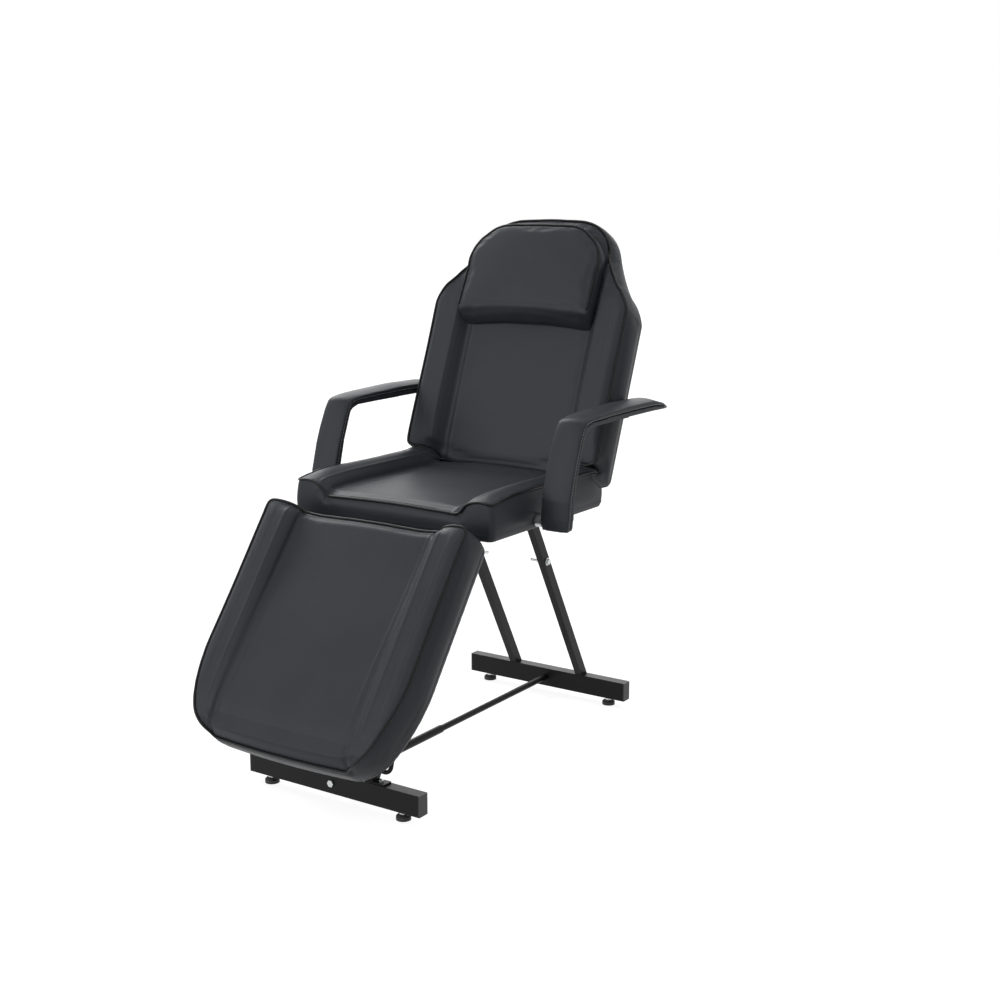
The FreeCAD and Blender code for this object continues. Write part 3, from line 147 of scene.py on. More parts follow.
sky = bpy.data.worlds.new("sky")
scene.world = sky
sky.use_nodes = True
sky.node_tree.nodes.clear()
sky_path = add_node(sky.node_tree, "ShaderNodeLightPath")
sky_dim = add_node(sky.node_tree, "ShaderNodeBackground", Color=WHITE, Strength=SKY_LIGHT)
sky_white = add_node(sky.node_tree, "ShaderNodeBackground", Color=WHITE, Strength=1.0)
sky_through = add_node(sky.node_tree, "ShaderNodeMath",
                       [(0, sky_path.outputs["Is Camera Ray"]),
                        (1, sky_path.outputs["Is Transmission Ray"])], operation="MAXIMUM")
sky_seen = add_node(sky.node_tree, "ShaderNodeMath",
                    [(0, sky_through.outputs[0]), (1, sky_path.outputs["Is Glossy Ray"])],
                    operation="MAXIMUM")
sky_mix = add_node(sky.node_tree, "ShaderNodeMixShader",
                   [(0, sky_seen.outputs[0]), (1, sky_dim.outputs[0]), (2, sky_white.outputs[0])])
add_node(sky.node_tree, "ShaderNodeOutputWorld", [("Surface", sky_mix.outputs[0])])

# %% Lamps
# Each lamp: name, strength, the disc it seems to fill in degrees, and its turn about X and Z in degrees
LAMPS = (("key_lamp", 1.9, 38.0, 50.0, -112.0), ("front_lamp", 2.1, 60.0, 80.0, -20.0),
         ("window_lamp", 0.4, 36.0, 70.0, -146.0), ("top_lamp", 0.85, 60.0, 30.0, 80.0))

for name, strength, disc, tilt, turn in LAMPS:
    lamp_data = bpy.data.lights.new(name, "SUN")
    lamp_data.energy = strength
    lamp_data.angle = math.radians(disc)
    lamp = bpy.data.objects.new(name, lamp_data)
    lamp.rotation_euler = Euler((math.radians(tilt), 0, math.radians(turn)))
    scene.collection.objects.link(lamp)

# %% [markdown]
# ## Finishes
# Synthetic leather is a PVC or PU skin embossed with a fine pebble grain over a knitted back. Under a
# soft light it shows a broad sheen that the grain breaks up. The frame is powder coated: an even satin
# black with a faint orange peel. Bolts are zinc plated and foot glides are moulded rubber. Each finish
# reads Object coordinates, so that its grain keeps its real size on every piece.

# %% Material helpers


def surface(name, colour, roughness, **settings):
    """A material with one principled shader, ready for its pattern."""
    material = bpy.data.materials.new(name)
    material.use_nodes = True
    tree = material.node_tree
    shader = tree.nodes["Principled BSDF"]
    shader.inputs["Base Color"].default_value = linear(colour)
    shader.inputs["Roughness"].default_value = roughness
    for socket, value in settings.items():
        shader.inputs[socket.replace("_", " ")].default_value = value
    place = add_node(tree, "ShaderNodeTexCoord").outputs["Object"]
    return material, tree, shader, place


def vary(tree, shader, pattern, colours, roughness=None, relief=None):
    """Let a pattern move a finish between two colours, and also in roughness and in height if given."""
    mix = add_node(tree, "ShaderNodeMix", data_type="RGBA")
    tree.links.new(pattern, mix.inputs["Factor"])
    for socket, colour in zip([socket for socket in mix.inputs if socket.type == "RGBA"], colours):
        socket.default_value = linear(colour)
    mixed = next(socket for socket in mix.outputs if socket.type == "RGBA")
    tree.links.new(mixed, shader.inputs["Base Color"])
    if roughness:
        low, high = roughness
        span = add_node(tree, "ShaderNodeMapRange", [("Value", pattern)], To_Min=low, To_Max=high)
        tree.links.new(span.outputs["Result"], shader.inputs["Roughness"])
    if relief:
        strength, depth_mm = relief
        bump = add_node(tree, "ShaderNodeBump", [("Height", pattern)], Strength=strength,
                        Distance=depth_mm * MM)
        tree.links.new(bump.outputs["Normal"], shader.inputs["Normal"])


# %% Synthetic leather: semi-gloss, with an embossed pebble grain and a slow wave of the foam under it
GRAIN_MM = 1.6
SOFTNESS_MM = 90.0


def leather(name, dark, light, gloss):
    material, tree, shader, place = surface(name, light, gloss, Specular_IOR_Level=0.15)
    pebbles = add_node(tree, "ShaderNodeTexVoronoi", [("Vector", place)], feature="DISTANCE_TO_EDGE",
                       Scale=1 / (GRAIN_MM * MM), Randomness=0.9)
    dents = add_node(tree, "ShaderNodeMapRange", [("Value", pebbles.outputs["Distance"])], From_Max=0.25)
    sag = add_node(tree, "ShaderNodeTexNoise", [("Vector", place)], Scale=1 / (SOFTNESS_MM * MM), Detail=3.0)
    grain = add_node(tree, "ShaderNodeBump", [("Height", dents.outputs["Result"])], Strength=0.22,
                     Distance=0.12 * MM)
    wave = add_node(tree, "ShaderNodeBump",
                    [("Height", sag.outputs["Fac"]), ("Normal", grain.outputs["Normal"])], Strength=0.35,
                    Distance=2.5 * MM)
    tree.links.new(wave.outputs["Normal"], shader.inputs["Normal"])
    vary(tree, shader, sag.outputs["Fac"], (dark, light), (gloss - 0.04, gloss + 0.05))
    return material


cover_leather = leather("black_synthetic_leather", "#292b2f", "#313338", 0.44)
# The welt is the cover's own leather, coloured much darker than the cover: painted shade of the seam it lies in
welt_leather_with_painted_shade = leather("black_welt_leather_painted_shade", "#0d0d0e", "#151517", 0.34)

# %% Stitching thread: bonded polyester, light grey, with one turn of its twist every 3 mm
TWIST_MM = 3.0


def thread():
    material, tree, shader, place = surface("grey_polyester_thread", "#8d8e92", 0.6, Sheen_Weight=0.4)
    twist = add_node(tree, "ShaderNodeTexWave", [("Vector", place)], Scale=1 / (TWIST_MM * MM),
                     Distortion=2.0)
    vary(tree, shader, twist.outputs["Fac"], ("#7c7d81", "#9c9da1"), relief=(0.5, 0.1))
    return material


stitch_thread = thread()

# %% Powder coat: satin black with a faint orange peel and rubbed spots
PEEL_MM = 1.8
RUB_MM = 60.0


def powder_coat():
    material, tree, shader, place = surface("black_powder_coat", "#161617", 0.4, Specular_IOR_Level=0.15)
    peel = add_node(tree, "ShaderNodeTexNoise", [("Vector", place)], Scale=1 / (PEEL_MM * MM), Detail=2.0)
    rub = add_node(tree, "ShaderNodeTexNoise", [("Vector", place)], Scale=1 / (RUB_MM * MM), Detail=5.0,
                   Roughness=0.6)
    bump = add_node(tree, "ShaderNodeBump", [("Height", peel.outputs["Fac"])], Strength=0.25,
                    Distance=0.1 * MM)
    tree.links.new(bump.outputs["Normal"], shader.inputs["Normal"])
    vary(tree, shader, rub.outputs["Fac"], ("#0f0f10", "#161617"), (0.32, 0.46))
    return material


frame_paint = powder_coat()

# %% Zinc plate: bright, slightly blue. Its turning marks are drawn coarser than they are, so that they show
MARK_MM = 0.9


def zinc():
    material, tree, shader, place = surface("bright_zinc_plate", "#c3c5c6", 0.32, Metallic=1.0)
    marks = add_node(tree, "ShaderNodeTexNoise", [("Vector", place)], Scale=1 / (MARK_MM * MM), Detail=3.0)
    vary(tree, shader, marks.outputs["Fac"], ("#aeb1b3", "#d0d2d2"), (0.22, 0.42), (0.2, 0.08))
    return material


zinc_plate = zinc()

# %% Moulded plastic and rubber: one recipe, matt, with the mould's texture drawn as coarse as it has to show


def moulded(name, dark, light, gloss, texture_mm, depth_mm):
    material, tree, shader, place = surface(name, light, gloss, IOR=1.5)
    spark = add_node(tree, "ShaderNodeTexNoise", [("Vector", place)], Scale=1 / (texture_mm * MM), Detail=4.0)
    vary(tree, shader, spark.outputs["Fac"], (dark, light), relief=(0.4, depth_mm))
    return material


cap_plastic = moulded("black_polypropylene", "#141415", "#1b1b1c", 0.5, 1.2, 0.08)
foot_rubber = moulded("black_moulded_rubber", "#101011", "#1a1a1b", 0.65, 2.0, 0.15)

# %% Lining cloth under the boards: a spun-bonded dust cover, dull, its bond points drawn coarse to show
FIBRE_MM = 2.4


def lining():
    material, tree, shader, place = surface("black_dust_cover", "#18181a", 0.9, Sheen_Weight=0.3)
    fibres = add_node(tree, "ShaderNodeTexVoronoi", [("Vector", place)], Scale=1 / (FIBRE_MM * MM))
    vary(tree, shader, fibres.outputs["Distance"], ("#121214", "#202022"), relief=(0.5, 0.3))
    return material


dust_cover = lining()

# %% Plywood: rotary-cut birch with long rings, seen only where a board is bare
VENEER_MM = 7.0
RING_SQUEEZE = 0.12


def plywood():
    material, tree, shader, place = surface("birch_plywood", "#b0936a", 0.62)
    stretch = add_node(tree, "ShaderNodeMapping", [("Vector", place)], Scale=(1.0, RING_SQUEEZE, 1.0))
    rings = add_node(tree, "ShaderNodeTexNoise", [("Vector", stretch.outputs["Vector"])],
                     Scale=1 / (VENEER_MM * MM), Detail=6.0, Distortion=0.8)
    vary(tree, shader, rings.outputs["Fac"], ("#957a53", "#c4a980"), relief=(0.2, 0.2))
    return material


board_wood = plywood()

# %% Give each rigid piece the finish that the record names for it
FINISHES = {"frame_paint": frame_paint, "cover_leather": cover_leather, "board_cover": dust_cover,
            "board_wood": board_wood, "black_plastic": cap_plastic, "foot_rubber": foot_rubber,
            "zinc_steel": zinc_plate}
slot_of = {part["node"]: part["material_slot"] for part in frame["record"]["subparts"]}
for node, item in nodes.items():
    item.data.materials.clear()
    item.data.materials.append(FINISHES[slot_of[node]])
print("finished", len(nodes), "rigid pieces")

# %% [markdown]
# ## Upholstery
# Each pad is foam on a board under a tight cover. The cover's panels swell between their seams. The
# frame's cushion gives the form, so the way is: copy it, remesh it evenly, shrink it a little, blow it
# up as cloth with its underside pinned to the board, and hold it close to the frame's own cushion. Then
# the seams are drawn in, and a welt is laid along the rim where the top panel meets the side band. The
# armrests are made the same way without the cloth, and the bend of each pad is rounded.

# %% Where each pad lies
# A pad's home is its own frame: its origin on the hinge, Y along its board and Z out of its top
HOMES = {"seat": Matrix.Identity(4), "arm": Matrix.Identity(4)}
for home, joint_name in (("back", "back_recline"), ("legrest", "legrest_swing")):
    joint = joints[joint_name]
    rest_turn = math.radians(-joint["range_deg"][0])
    HOMES[home] = Matrix.Translation(joint["pos_m"]) @ Matrix.Rotation(rest_turn, 4, "X")

# %% Mesh helpers
MERGE_MM = 0.01


def merged_skin(node):
    """A frame piece's loose triangles, joined into one closed skin."""
    skin = bmesh.new()
    skin.from_mesh(nodes[node].data)
    bmesh.ops.remove_doubles(skin, verts=skin.verts, dist=MERGE_MM * MM)
    return skin


def merged_copy(name, node):
    """A leather copy of a frame piece with one closed skin, at the origin, with its place in its mesh."""
    mesh = nodes[node].data.copy()
    mesh.name = name
    skin = merged_skin(node)
    skin.to_mesh(mesh)
    skin.free()
    item = bpy.data.objects.new(name, mesh)
    scene.collection.objects.link(item)
    mesh.materials.clear()
    mesh.materials.append(cover_leather)
    return item


def bake(item):
    """Turn a piece's modifiers into plain mesh."""
    graph = bpy.context.evaluated_depsgraph_get()
    mesh = bpy.data.meshes.new_from_object(item.evaluated_get(graph))
    old = item.data
    item.modifiers.clear()
    item.data = mesh
    bpy.data.meshes.remove(old)
    mesh.shade_smooth()


def points_of(mesh):
    table = np.empty(len(mesh.vertices) * 3)
    mesh.vertices.foreach_get("co", table)
    return table.reshape(-1, 3)


def set_points(mesh, table):
    mesh.vertices.foreach_set("co", table.ravel())
    mesh.update()


def normals_of(mesh):
    table = np.empty(len(mesh.vertices) * 3)
    mesh.vertex_normals.foreach_get("vector", table)
    return table.reshape(-1, 3)


def moved(points, matrix):
    """A table of points, moved by a matrix."""
    turn = np.array(matrix)
    return points @ turn[:3, :3].T + turn[:3, 3]


def spot_finder(spots):
    """A search tree for the nearest of some points."""
    near = KDTree(len(spots))
    for index, spot in enumerate(spots):
        near.insert(spot, index)
    near.balance()
    return near


# %% Start, blow up and hold one pad
PAD_VOXEL_MM = 5.0
ARM_VOXEL_MM = 3.0
PRESSURE = 4.0
FRAMES = 20


def start_pad(name, node, home, pin_height, shrink_mm, voxel_mm):
    """Remesh a pad, shrink it and pin what lies on its board."""
    pad = merged_copy(name, node)
    remesh = pad.modifiers.new("even", "REMESH")
    remesh.mode = "VOXEL"
    remesh.voxel_size = voxel_mm * MM
    bake(pad)
    table = points_of(pad.data)
    held = moved(table, HOMES[home].inverted())[:, 2] < pin_height
    table[~held] -= normals_of(pad.data)[~held] * shrink_mm * MM
    set_points(pad.data, table)
    group = pad.vertex_groups.new(name="board")
    group.add([int(index) for index in np.nonzero(held)[0]], 1.0, "REPLACE")
    return pad


def add_cloth(pad):
    """A tight cover that is blown up without gravity and held at its board."""
    cloth = pad.modifiers.new("cover", "CLOTH")
    cloth.settings.use_pressure = True
    cloth.settings.uniform_pressure_force = PRESSURE
    cloth.settings.effector_weights.gravity = 0
    cloth.settings.vertex_group_mass = "board"
    cloth.settings.quality = 4
    cloth.collision_settings.use_collision = False
    cloth.point_cache.frame_start = 1
    cloth.point_cache.frame_end = FRAMES


def frame_skin(node):
    """The frame's own solid, for measuring how far a point lies outside it."""
    skin = merged_skin(node)
    tree = BVHTree.FromBMesh(skin)
    skin.free()
    return tree


def eased(value, first, last):
    """0 before the first value, 1 after the last, and a smooth ramp between them."""
    share = np.clip((value - first) / (last - first), 0, 1)
    return share * share * (3 - 2 * share)


def hold_near(table, tree, out_mm, in_mm):
    """Ease every point towards a band round the frame's solid: so far out of it, and so deep in it."""
    for index, point in enumerate(table):
        spot, normal, _, distance = tree.find_nearest(Vector(point))
        outside = (Vector(point) - spot).dot(normal) > 0
        reach = (out_mm if outside else in_mm) * MM
        table[index] = spot + (Vector(point) - spot).normalized() * reach * math.tanh(distance / reach)
    return table


def spread(mesh, values, share, rounds):
    """Move each point's value by a share towards the mean of its neighbours, so many times over."""
    ends = np.empty(len(mesh.edges) * 2, dtype=np.int64)
    mesh.edges.foreach_get("vertices", ends)
    first, last = ends[0::2], ends[1::2]
    count = np.bincount(ends, minlength=len(values))[:, None]
    for _ in range(rounds):
        total = np.zeros_like(values)
        np.add.at(total, first, values[last])
        np.add.at(total, last, values[first])
        values = values + share * (total / count - values)
    return values


# %% Start all the pads and blow up those with cloth
# Where the undersides of the cushions lie, and how far above them the pads are pinned
SEAT_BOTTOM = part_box("seat_cushion")[0].z
BACK_BOTTOM_MM = -6.5
LEGREST_BOTTOM_MM = 6.3
PINNED_MM = 16.0
PILLOW_PIN = 0.062
NO_PIN = 0.0
SHRINK_MM = 1.5
ARM_SHRINK_MM = 0.8
# Each pad: its name, frame node, body and home, the height in its home below which it is pinned, how far
# it may stand out of the frame's solid in mm, and its fill
PADS = [("seat_cover", "seat_cushion", "base", "seat", SEAT_BOTTOM + PINNED_MM * MM, 4.5, 0.75),
        ("back_cover", "back_cushion", "backrest", "back", (PINNED_MM + BACK_BOTTOM_MM) * MM, 4.5, 0.7),
        ("legrest_cover", "legrest_cushion", "legrest", "legrest", (PINNED_MM + LEGREST_BOTTOM_MM) * MM,
         3.5, 0.75),
        ("pillow_cover", "head_pillow", "backrest", "back", PILLOW_PIN, 1.8, 0.6)]
ARM_NODES = ["%s_arm_%s" % (hand, part) for hand in ("right", "left") for part in ("pad", "board")]

started = []
for name, node, _, home, pin_height, _, _ in PADS:
    started.append(start_pad(name, node, home, pin_height, SHRINK_MM, PAD_VOXEL_MM))
for node in ARM_NODES:
    started.append(start_pad(node + "_cover", node, "arm", NO_PIN, ARM_SHRINK_MM, ARM_VOXEL_MM))
before = [points_of(pad.data) for pad in started]
for pad in started[:len(PADS)]:
    add_cloth(pad)
for step in range(1, FRAMES + 1):
    scene.frame_set(step)
print("started", len(started), "pads")

# %% Keep each swollen cover near its foam, then refine it once
SWELL_MM = 12.0
IN_MM = 2.5
ARM_OUT_MM = 1.0
SPREAD_SHARE = 0.6
EVEN_ROUNDS = 5
KNEE_ROUNDS = 45
KNEE_FADE = (0.030, 0.080)
KNEE_DEPTH = (0.005, 0.014)


def keep_near(pad, start, node, out_mm):
    """Hold a blown-up cover near its foam, without steps in the swelling."""
    bake(pad)
    table = points_of(pad.data)
    push = table - start
    length = np.linalg.norm(push, axis=1, keepdims=True)
    table = start + push * np.minimum(1.0, SWELL_MM * MM / np.maximum(length, 1e-9))
    shift = hold_near(table, frame_skin(node), out_mm, IN_MM) - start
    set_points(pad.data, start + spread(pad.data, shift, SPREAD_SHARE, EVEN_ROUNDS))


def round_knee(pad, board):
    """Soften an arm pad where the post bends into the rest, away from its seam with the board."""
    tree = frame_skin(board)
    table = points_of(pad.data)
    corner = table[np.argmax(table[:, 2] - table[:, 1])]
    reach = np.hypot(table[:, 1] - corner[1], table[:, 2] - corner[2])
    depth = np.array([tree.find_nearest(Vector(point))[3] for point in table])
    share = (1 - eased(reach, *KNEE_FADE)) * eased(depth, *KNEE_DEPTH)
    set_points(pad.data, spread(pad.data, table, SPREAD_SHARE * share[:, None], KNEE_ROUNDS))


def refine(pad):
    """Halve a cover's mesh width, so that its seams come out sharp."""
    fine = pad.modifiers.new("fine", "SUBSURF")
    fine.levels = fine.render_levels = 1
    bake(pad)
    return pad


covers = {}
for pad, start, (name, node, _, _, _, out_mm, _) in zip(started, before, PADS):
    keep_near(pad, start, node, out_mm)
    covers[name] = refine(pad)
for pad, start, node in zip(started[len(PADS):], before[len(PADS):], ARM_NODES):
    keep_near(pad, start, node, ARM_OUT_MM)
    if node.endswith("pad"):
        round_knee(pad, node.replace("pad", "board"))
    covers[pad.name] = refine(pad)
scene.frame_set(1)

# %% [markdown]
# ## Rims and seams
# A pad's rim is found on the frame's own cushion: the edges where a face that looks up from the board
# meets one that looks sideways. A seam between two pieces is found where their faces touch.

# %% Find a seam on a frame piece: a chain of its edges
TOP_LOOKS_UP = 0.55
SIDE_LOOKS_UP = 0.66
SIDE_LOOKS_OUT = 0.2
RIM_ANGLE = math.radians(22)
TOUCH_MM = 0.6


def longest_chain(node, taken):
    """The longest run of edges that a test takes. The test gives each edge's shift, or None."""
    skin = merged_skin(node)
    links, shifts = {}, {}
    for edge in skin.edges:
        shift = taken(edge) if len(edge.link_faces) == 2 else None
        if shift is None:
            continue
        first, last = edge.verts
        links.setdefault(first.index, []).append(last.index)
        links.setdefault(last.index, []).append(first.index)
        shifts[first.index] = shifts[last.index] = shift
    skin.verts.ensure_lookup_table()
    runs, left = [], set(links)
    while left:
        run = [left.pop()]
        for end in (-1, 0):
            while True:
                ahead = [index for index in links[run[end]] if index in left]
                if not ahead:
                    break
                run.insert(len(run) if end else 0, ahead[0])
                left.discard(ahead[0])
        runs.append([skin.verts[index].co + shifts[index] for index in run])
    skin.free()
    return max(runs, key=lambda run: sum((a - b).length for a, b in zip(run, run[1:])))


def rim_of(node, home):
    """The rim where a pad's top meets its sides."""
    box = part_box(node)
    centre = (box[0] + box[1]) / 2
    up = (HOMES[home].to_3x3() @ Vector((0, 0, 1))).normalized()

    def taken(edge):
        side, top = sorted(edge.link_faces, key=lambda face: face.normal.dot(up))
        outward = (edge.verts[0].co + edge.verts[1].co) / 2 - centre
        outward = (outward - up * outward.dot(up)).normalized()
        fits = top.normal.dot(up) > TOP_LOOKS_UP and side.normal.dot(up) < SIDE_LOOKS_UP
        sharp = side.normal.dot(outward) > SIDE_LOOKS_OUT and edge.calc_face_angle(0) > RIM_ANGLE
        return Vector() if fits and sharp else None

    return longest_chain(node, taken)


def seam_between(node, other, shift_mm):
    """The edge of the face that touches another piece, moved into the piece by a shift."""
    tree = frame_skin(other)

    def taken(edge):
        gaps = [tree.find_nearest(face.calc_center_median())[3] for face in edge.link_faces]
        touching = [gap < TOUCH_MM * MM for gap in gaps]
        if sum(touching) != 1:
            return None
        return edge.link_faces[touching.index(True)].normal * -shift_mm * MM

    return longest_chain(node, taken)


# %% Even out, smooth and cut a path
FEWEST_POINTS = 8


def evenly(path, step, closed=True):
    """Points at equal steps along a path."""
    loop = path + path[:1] if closed else path
    table = np.array([tuple(point) for point in loop])
    lengths = np.concatenate([[0], np.cumsum(np.linalg.norm(np.diff(table, axis=0), axis=1))])
    count = max(FEWEST_POINTS, int(round(lengths[-1] / step)))
    marks = np.linspace(0, lengths[-1], count, endpoint=not closed)
    return np.stack([np.interp(marks, lengths, table[:, axis]) for axis in range(3)], axis=1)


def relax(path, rounds, closed=True):
    """Smooth a path by moving each point towards the middle of its neighbours."""
    table = path.copy()
    for _ in range(rounds):
        middle = (np.roll(table, 1, axis=0) + np.roll(table, -1, axis=0)) / 2
        if not closed:
            middle[0], middle[-1] = table[0], table[-1]
        table = table * 0.5 + middle * 0.5
    return table


def run_where(path, test):
    """The points of a closed path that a test takes, as one run that starts after a gap."""
    flags = [test(point) for point in path]
    gap = flags.index(False)
    order = [(gap + step) % len(path) for step in range(len(path))]
    return np.array([path[index] for index in order if flags[index]])


# %% [markdown]
# ## Side panels
# The side panels of the back and the leg rest lie flat from the welt to a soft ridge, and only then
# slope down to the middle. On the leg rest the slope dies away towards the foot, where the pad is level.

# %% Flatten the side panels
# How far out a panel's ridge and foot lie, and the line that is measured for its crest
RIDGE_X = 0.224
FOOT_X = 0.178
CREST_X = 0.247
CREST_SHARE = 0.92
RIM_STEP_MM = 4.0
RIM_FADE = (0.004, 0.030)
LOOKS_UP_FADE = (0.25, 0.60)
LINE_FROM_Z = 1.0
# Each pad: its cover, frame node and home, from where to where along it the lift of its middle grows,
# and the most that lift takes of what is missing to the crest
PANELS = [("back_cover", "back_cushion", "back", (0.10, 0.60), 0.15),
          ("legrest_cover", "legrest_cushion", "legrest", (0.05, 0.45), 0.75)]


def line_on(cover, home, x, first, last, count=160):
    """A straight line in a pad's plane, dropped onto its top."""
    tree = BVHTree.FromObject(cover, bpy.context.evaluated_depsgraph_get())
    look = HOMES[home]
    down = look.to_3x3() @ Vector((0, 0, -1))
    line = []
    for step in range(count):
        along = first + (last - first) * step / (count - 1)
        spot = tree.ray_cast(look @ Vector((x, along, LINE_FROM_Z)), down)[0]
        if spot:
            line.append(spot)
    return line


def flatten_panels(cover_name, node, home, lift_fade, lift_share):
    """Bring a pad's side panels up to the crest, and its middle by a share that grows along it."""
    out_of, into = HOMES[home], HOMES[home].inverted()
    cover = covers[cover_name]
    local = moved(points_of(cover.data), into)
    ends = local[:, 1].min(), local[:, 1].max()
    crest = [into @ spot for spot in line_on(cover, home, CREST_X, *ends)]
    top = max(spot.z for spot in crest)
    crest = sorted((spot.y, spot.z) for spot in crest if spot.z > CREST_SHARE * top)
    height = np.interp(local[:, 1], *zip(*crest))
    rim = [into @ Vector(spot) for spot in evenly(rim_of(node, home), RIM_STEP_MM * MM)]
    near = spot_finder([(spot.x, spot.y, 0) for spot in rim])
    inset = np.array([near.find((x, y, 0))[2] for x, y, _ in local])
    looks_up = normals_of(cover.data) @ np.array(into)[2, :3]
    panel = eased(np.abs(local[:, 0]), FOOT_X, RIDGE_X)
    middle = (1 - panel) * lift_share * eased(np.abs(local[:, 1]), *lift_fade)
    inside = eased(looks_up, *LOOKS_UP_FADE) * eased(inset, *RIM_FADE)
    local[:, 2] += inside * (panel + middle) * np.maximum(0, height - local[:, 2])
    set_points(cover.data, moved(local, out_of))


for panel_row in PANELS:
    flatten_panels(*panel_row)

# %% [markdown]
# ## Where seat and back meet
# The back's lower rim rests on the seat. Both covers give way there: the seat's rear swells up behind
# the sitter and the rim of the back sags down on it, until they touch. At the other end, the back's top
# is pulled up a few millimetres.

# %% Let the back rest on the seat
SAG_MM = 21.0
SAG_ALONG = (0.180, 0.050)
SAG_HEIGHT = (-0.040, 0.045)
STRETCH_MM = 7.0
STRETCH_ALONG = (0.50, 0.70)
REAR_SWELL_MM = 12.0
SWELL_ALONG = (0.160, 0.235)
SWELL_HEIGHT = (0.625, 0.655)
CONTACT_REACH_MM = 40.0
CONTACT_GAP_MM = 0.8


def settled(points):
    """Points of the back moved along it: its lower rim down onto the seat, its top a little up."""
    local = moved(points, HOMES["back"].inverted())
    sag = eased(local[:, 1], *SAG_ALONG) * eased(local[:, 2], *SAG_HEIGHT)
    shift = STRETCH_MM * eased(local[:, 1], *STRETCH_ALONG) - SAG_MM * sag
    return points + np.outer(shift * MM, HOMES["back"].to_3x3() @ Vector((0, 1, 0)))


set_points(covers["back_cover"].data, settled(points_of(covers["back_cover"].data)))

table = points_of(covers["seat_cover"].data)
swell = eased(table[:, 1], *SWELL_ALONG) * eased(table[:, 2], *SWELL_HEIGHT)
table[:, 2] += swell * REAR_SWELL_MM * MM
set_points(covers["seat_cover"].data, table)

seat_skin = BVHTree.FromObject(covers["seat_cover"], bpy.context.evaluated_depsgraph_get())
table = points_of(covers["back_cover"].data)
pressed = 0
for index, point in enumerate(table):
    spot, normal, _, distance = seat_skin.find_nearest(Vector(point))
    if distance < CONTACT_REACH_MM * MM and (Vector(point) - spot).dot(normal) < CONTACT_GAP_MM * MM:
        table[index] = spot + normal * CONTACT_GAP_MM * MM
        pressed += 1
set_points(covers["back_cover"].data, table)
print("back rests on the seat with", pressed, "points")

# %% [markdown]
# ## Welts
# A welt is a thin cord in a folded strip of the same leather, sewn into the seam between the top panel
# and the side band. Its colour is much darker than the cover's: painted shade of the seam it lies in.
# The rim's path is laid on the swollen cover, the cover is drawn in beside it as a seam pulls it, and a
# tube is swept along it.

# %% Sweep a tube or lay small bars along a path with Geometry Nodes


def start_tree(name, sockets):
    """A geometry node tree with its inputs: geometry, the named ones and a finish."""
    tree = bpy.data.node_groups.new(name, "GeometryNodeTree")
    for socket, kind in (("Geometry", "Geometry"), *sockets, ("Finish", "Material")):
        tree.interface.new_socket(socket, in_out="INPUT", socket_type="NodeSocket" + kind)
    tree.interface.new_socket("Geometry", in_out="OUTPUT", socket_type="NodeSocketGeometry")
    given = add_node(tree, "NodeGroupInput")
    curve = add_node(tree, "GeometryNodeMeshToCurve", [("Mesh", given.outputs["Geometry"])])
    return tree, given, curve.outputs[0]


def end_tree(tree, given, geometry):
    """Close a node tree: what it made comes out as plain smooth mesh with its finish."""
    real = add_node(tree, "GeometryNodeRealizeInstances", [("Geometry", geometry)])
    smooth = add_node(tree, "GeometryNodeSetShadeSmooth", [("Geometry", real.outputs["Geometry"])])
    done = add_node(tree, "GeometryNodeSetMaterial",
                    [("Geometry", smooth.outputs["Geometry"]), ("Material", given.outputs["Finish"])])
    add_node(tree, "NodeGroupOutput", [("Geometry", done.outputs["Geometry"])])
    return tree


def tube_tree():
    """Path to tube: inputs for its radius and its number of sides."""
    tree, given, curve = start_tree("tube_along_path", (("Radius", "Float"), ("Sides", "Int")))
    ring = add_node(tree, "GeometryNodeCurvePrimitiveCircle",
                    [("Resolution", given.outputs["Sides"]), ("Radius", given.outputs["Radius"])])
    tube = add_node(tree, "GeometryNodeCurveToMesh",
                    [("Curve", curve), ("Profile Curve", ring.outputs["Curve"])], Fill_Caps=True)
    return end_tree(tree, given, tube.outputs["Mesh"])


def bar_tree():
    """Path to a row of small rounded bars along it, such as stitches, each a little longer or shorter."""
    floats = [(socket, "Float") for socket in ("Spacing", "Length", "Thickness")]
    tree, given, curve = start_tree("bars_along_path", (*floats, ("Seed", "Int")))
    spots = add_node(tree, "GeometryNodeCurveToPoints",
                     [("Curve", curve), ("Length", given.outputs["Spacing"])], mode="LENGTH")
    ball = add_node(tree, "GeometryNodeMeshUVSphere", Segments=8, Rings=6, Radius=0.5)
    form = add_node(tree, "ShaderNodeCombineXYZ",
                    [("X", given.outputs["Thickness"]), ("Y", given.outputs["Thickness"]),
                     ("Z", given.outputs["Length"])])
    bar = add_node(tree, "GeometryNodeTransform",
                   [("Geometry", ball.outputs["Mesh"]), ("Scale", form.outputs["Vector"])])
    chance = add_node(tree, "FunctionNodeRandomValue", [("Seed", given.outputs["Seed"])], Min=0.88, Max=1.1)
    placed = add_node(tree, "GeometryNodeInstanceOnPoints",
                      [("Points", spots.outputs["Points"]), ("Instance", bar.outputs["Geometry"]),
                       ("Rotation", spots.outputs["Rotation"]), ("Scale", chance.outputs[1])])
    return end_tree(tree, given, placed.outputs["Instances"])


TUBE_TREE = tube_tree()
BAR_TREE = bar_tree()


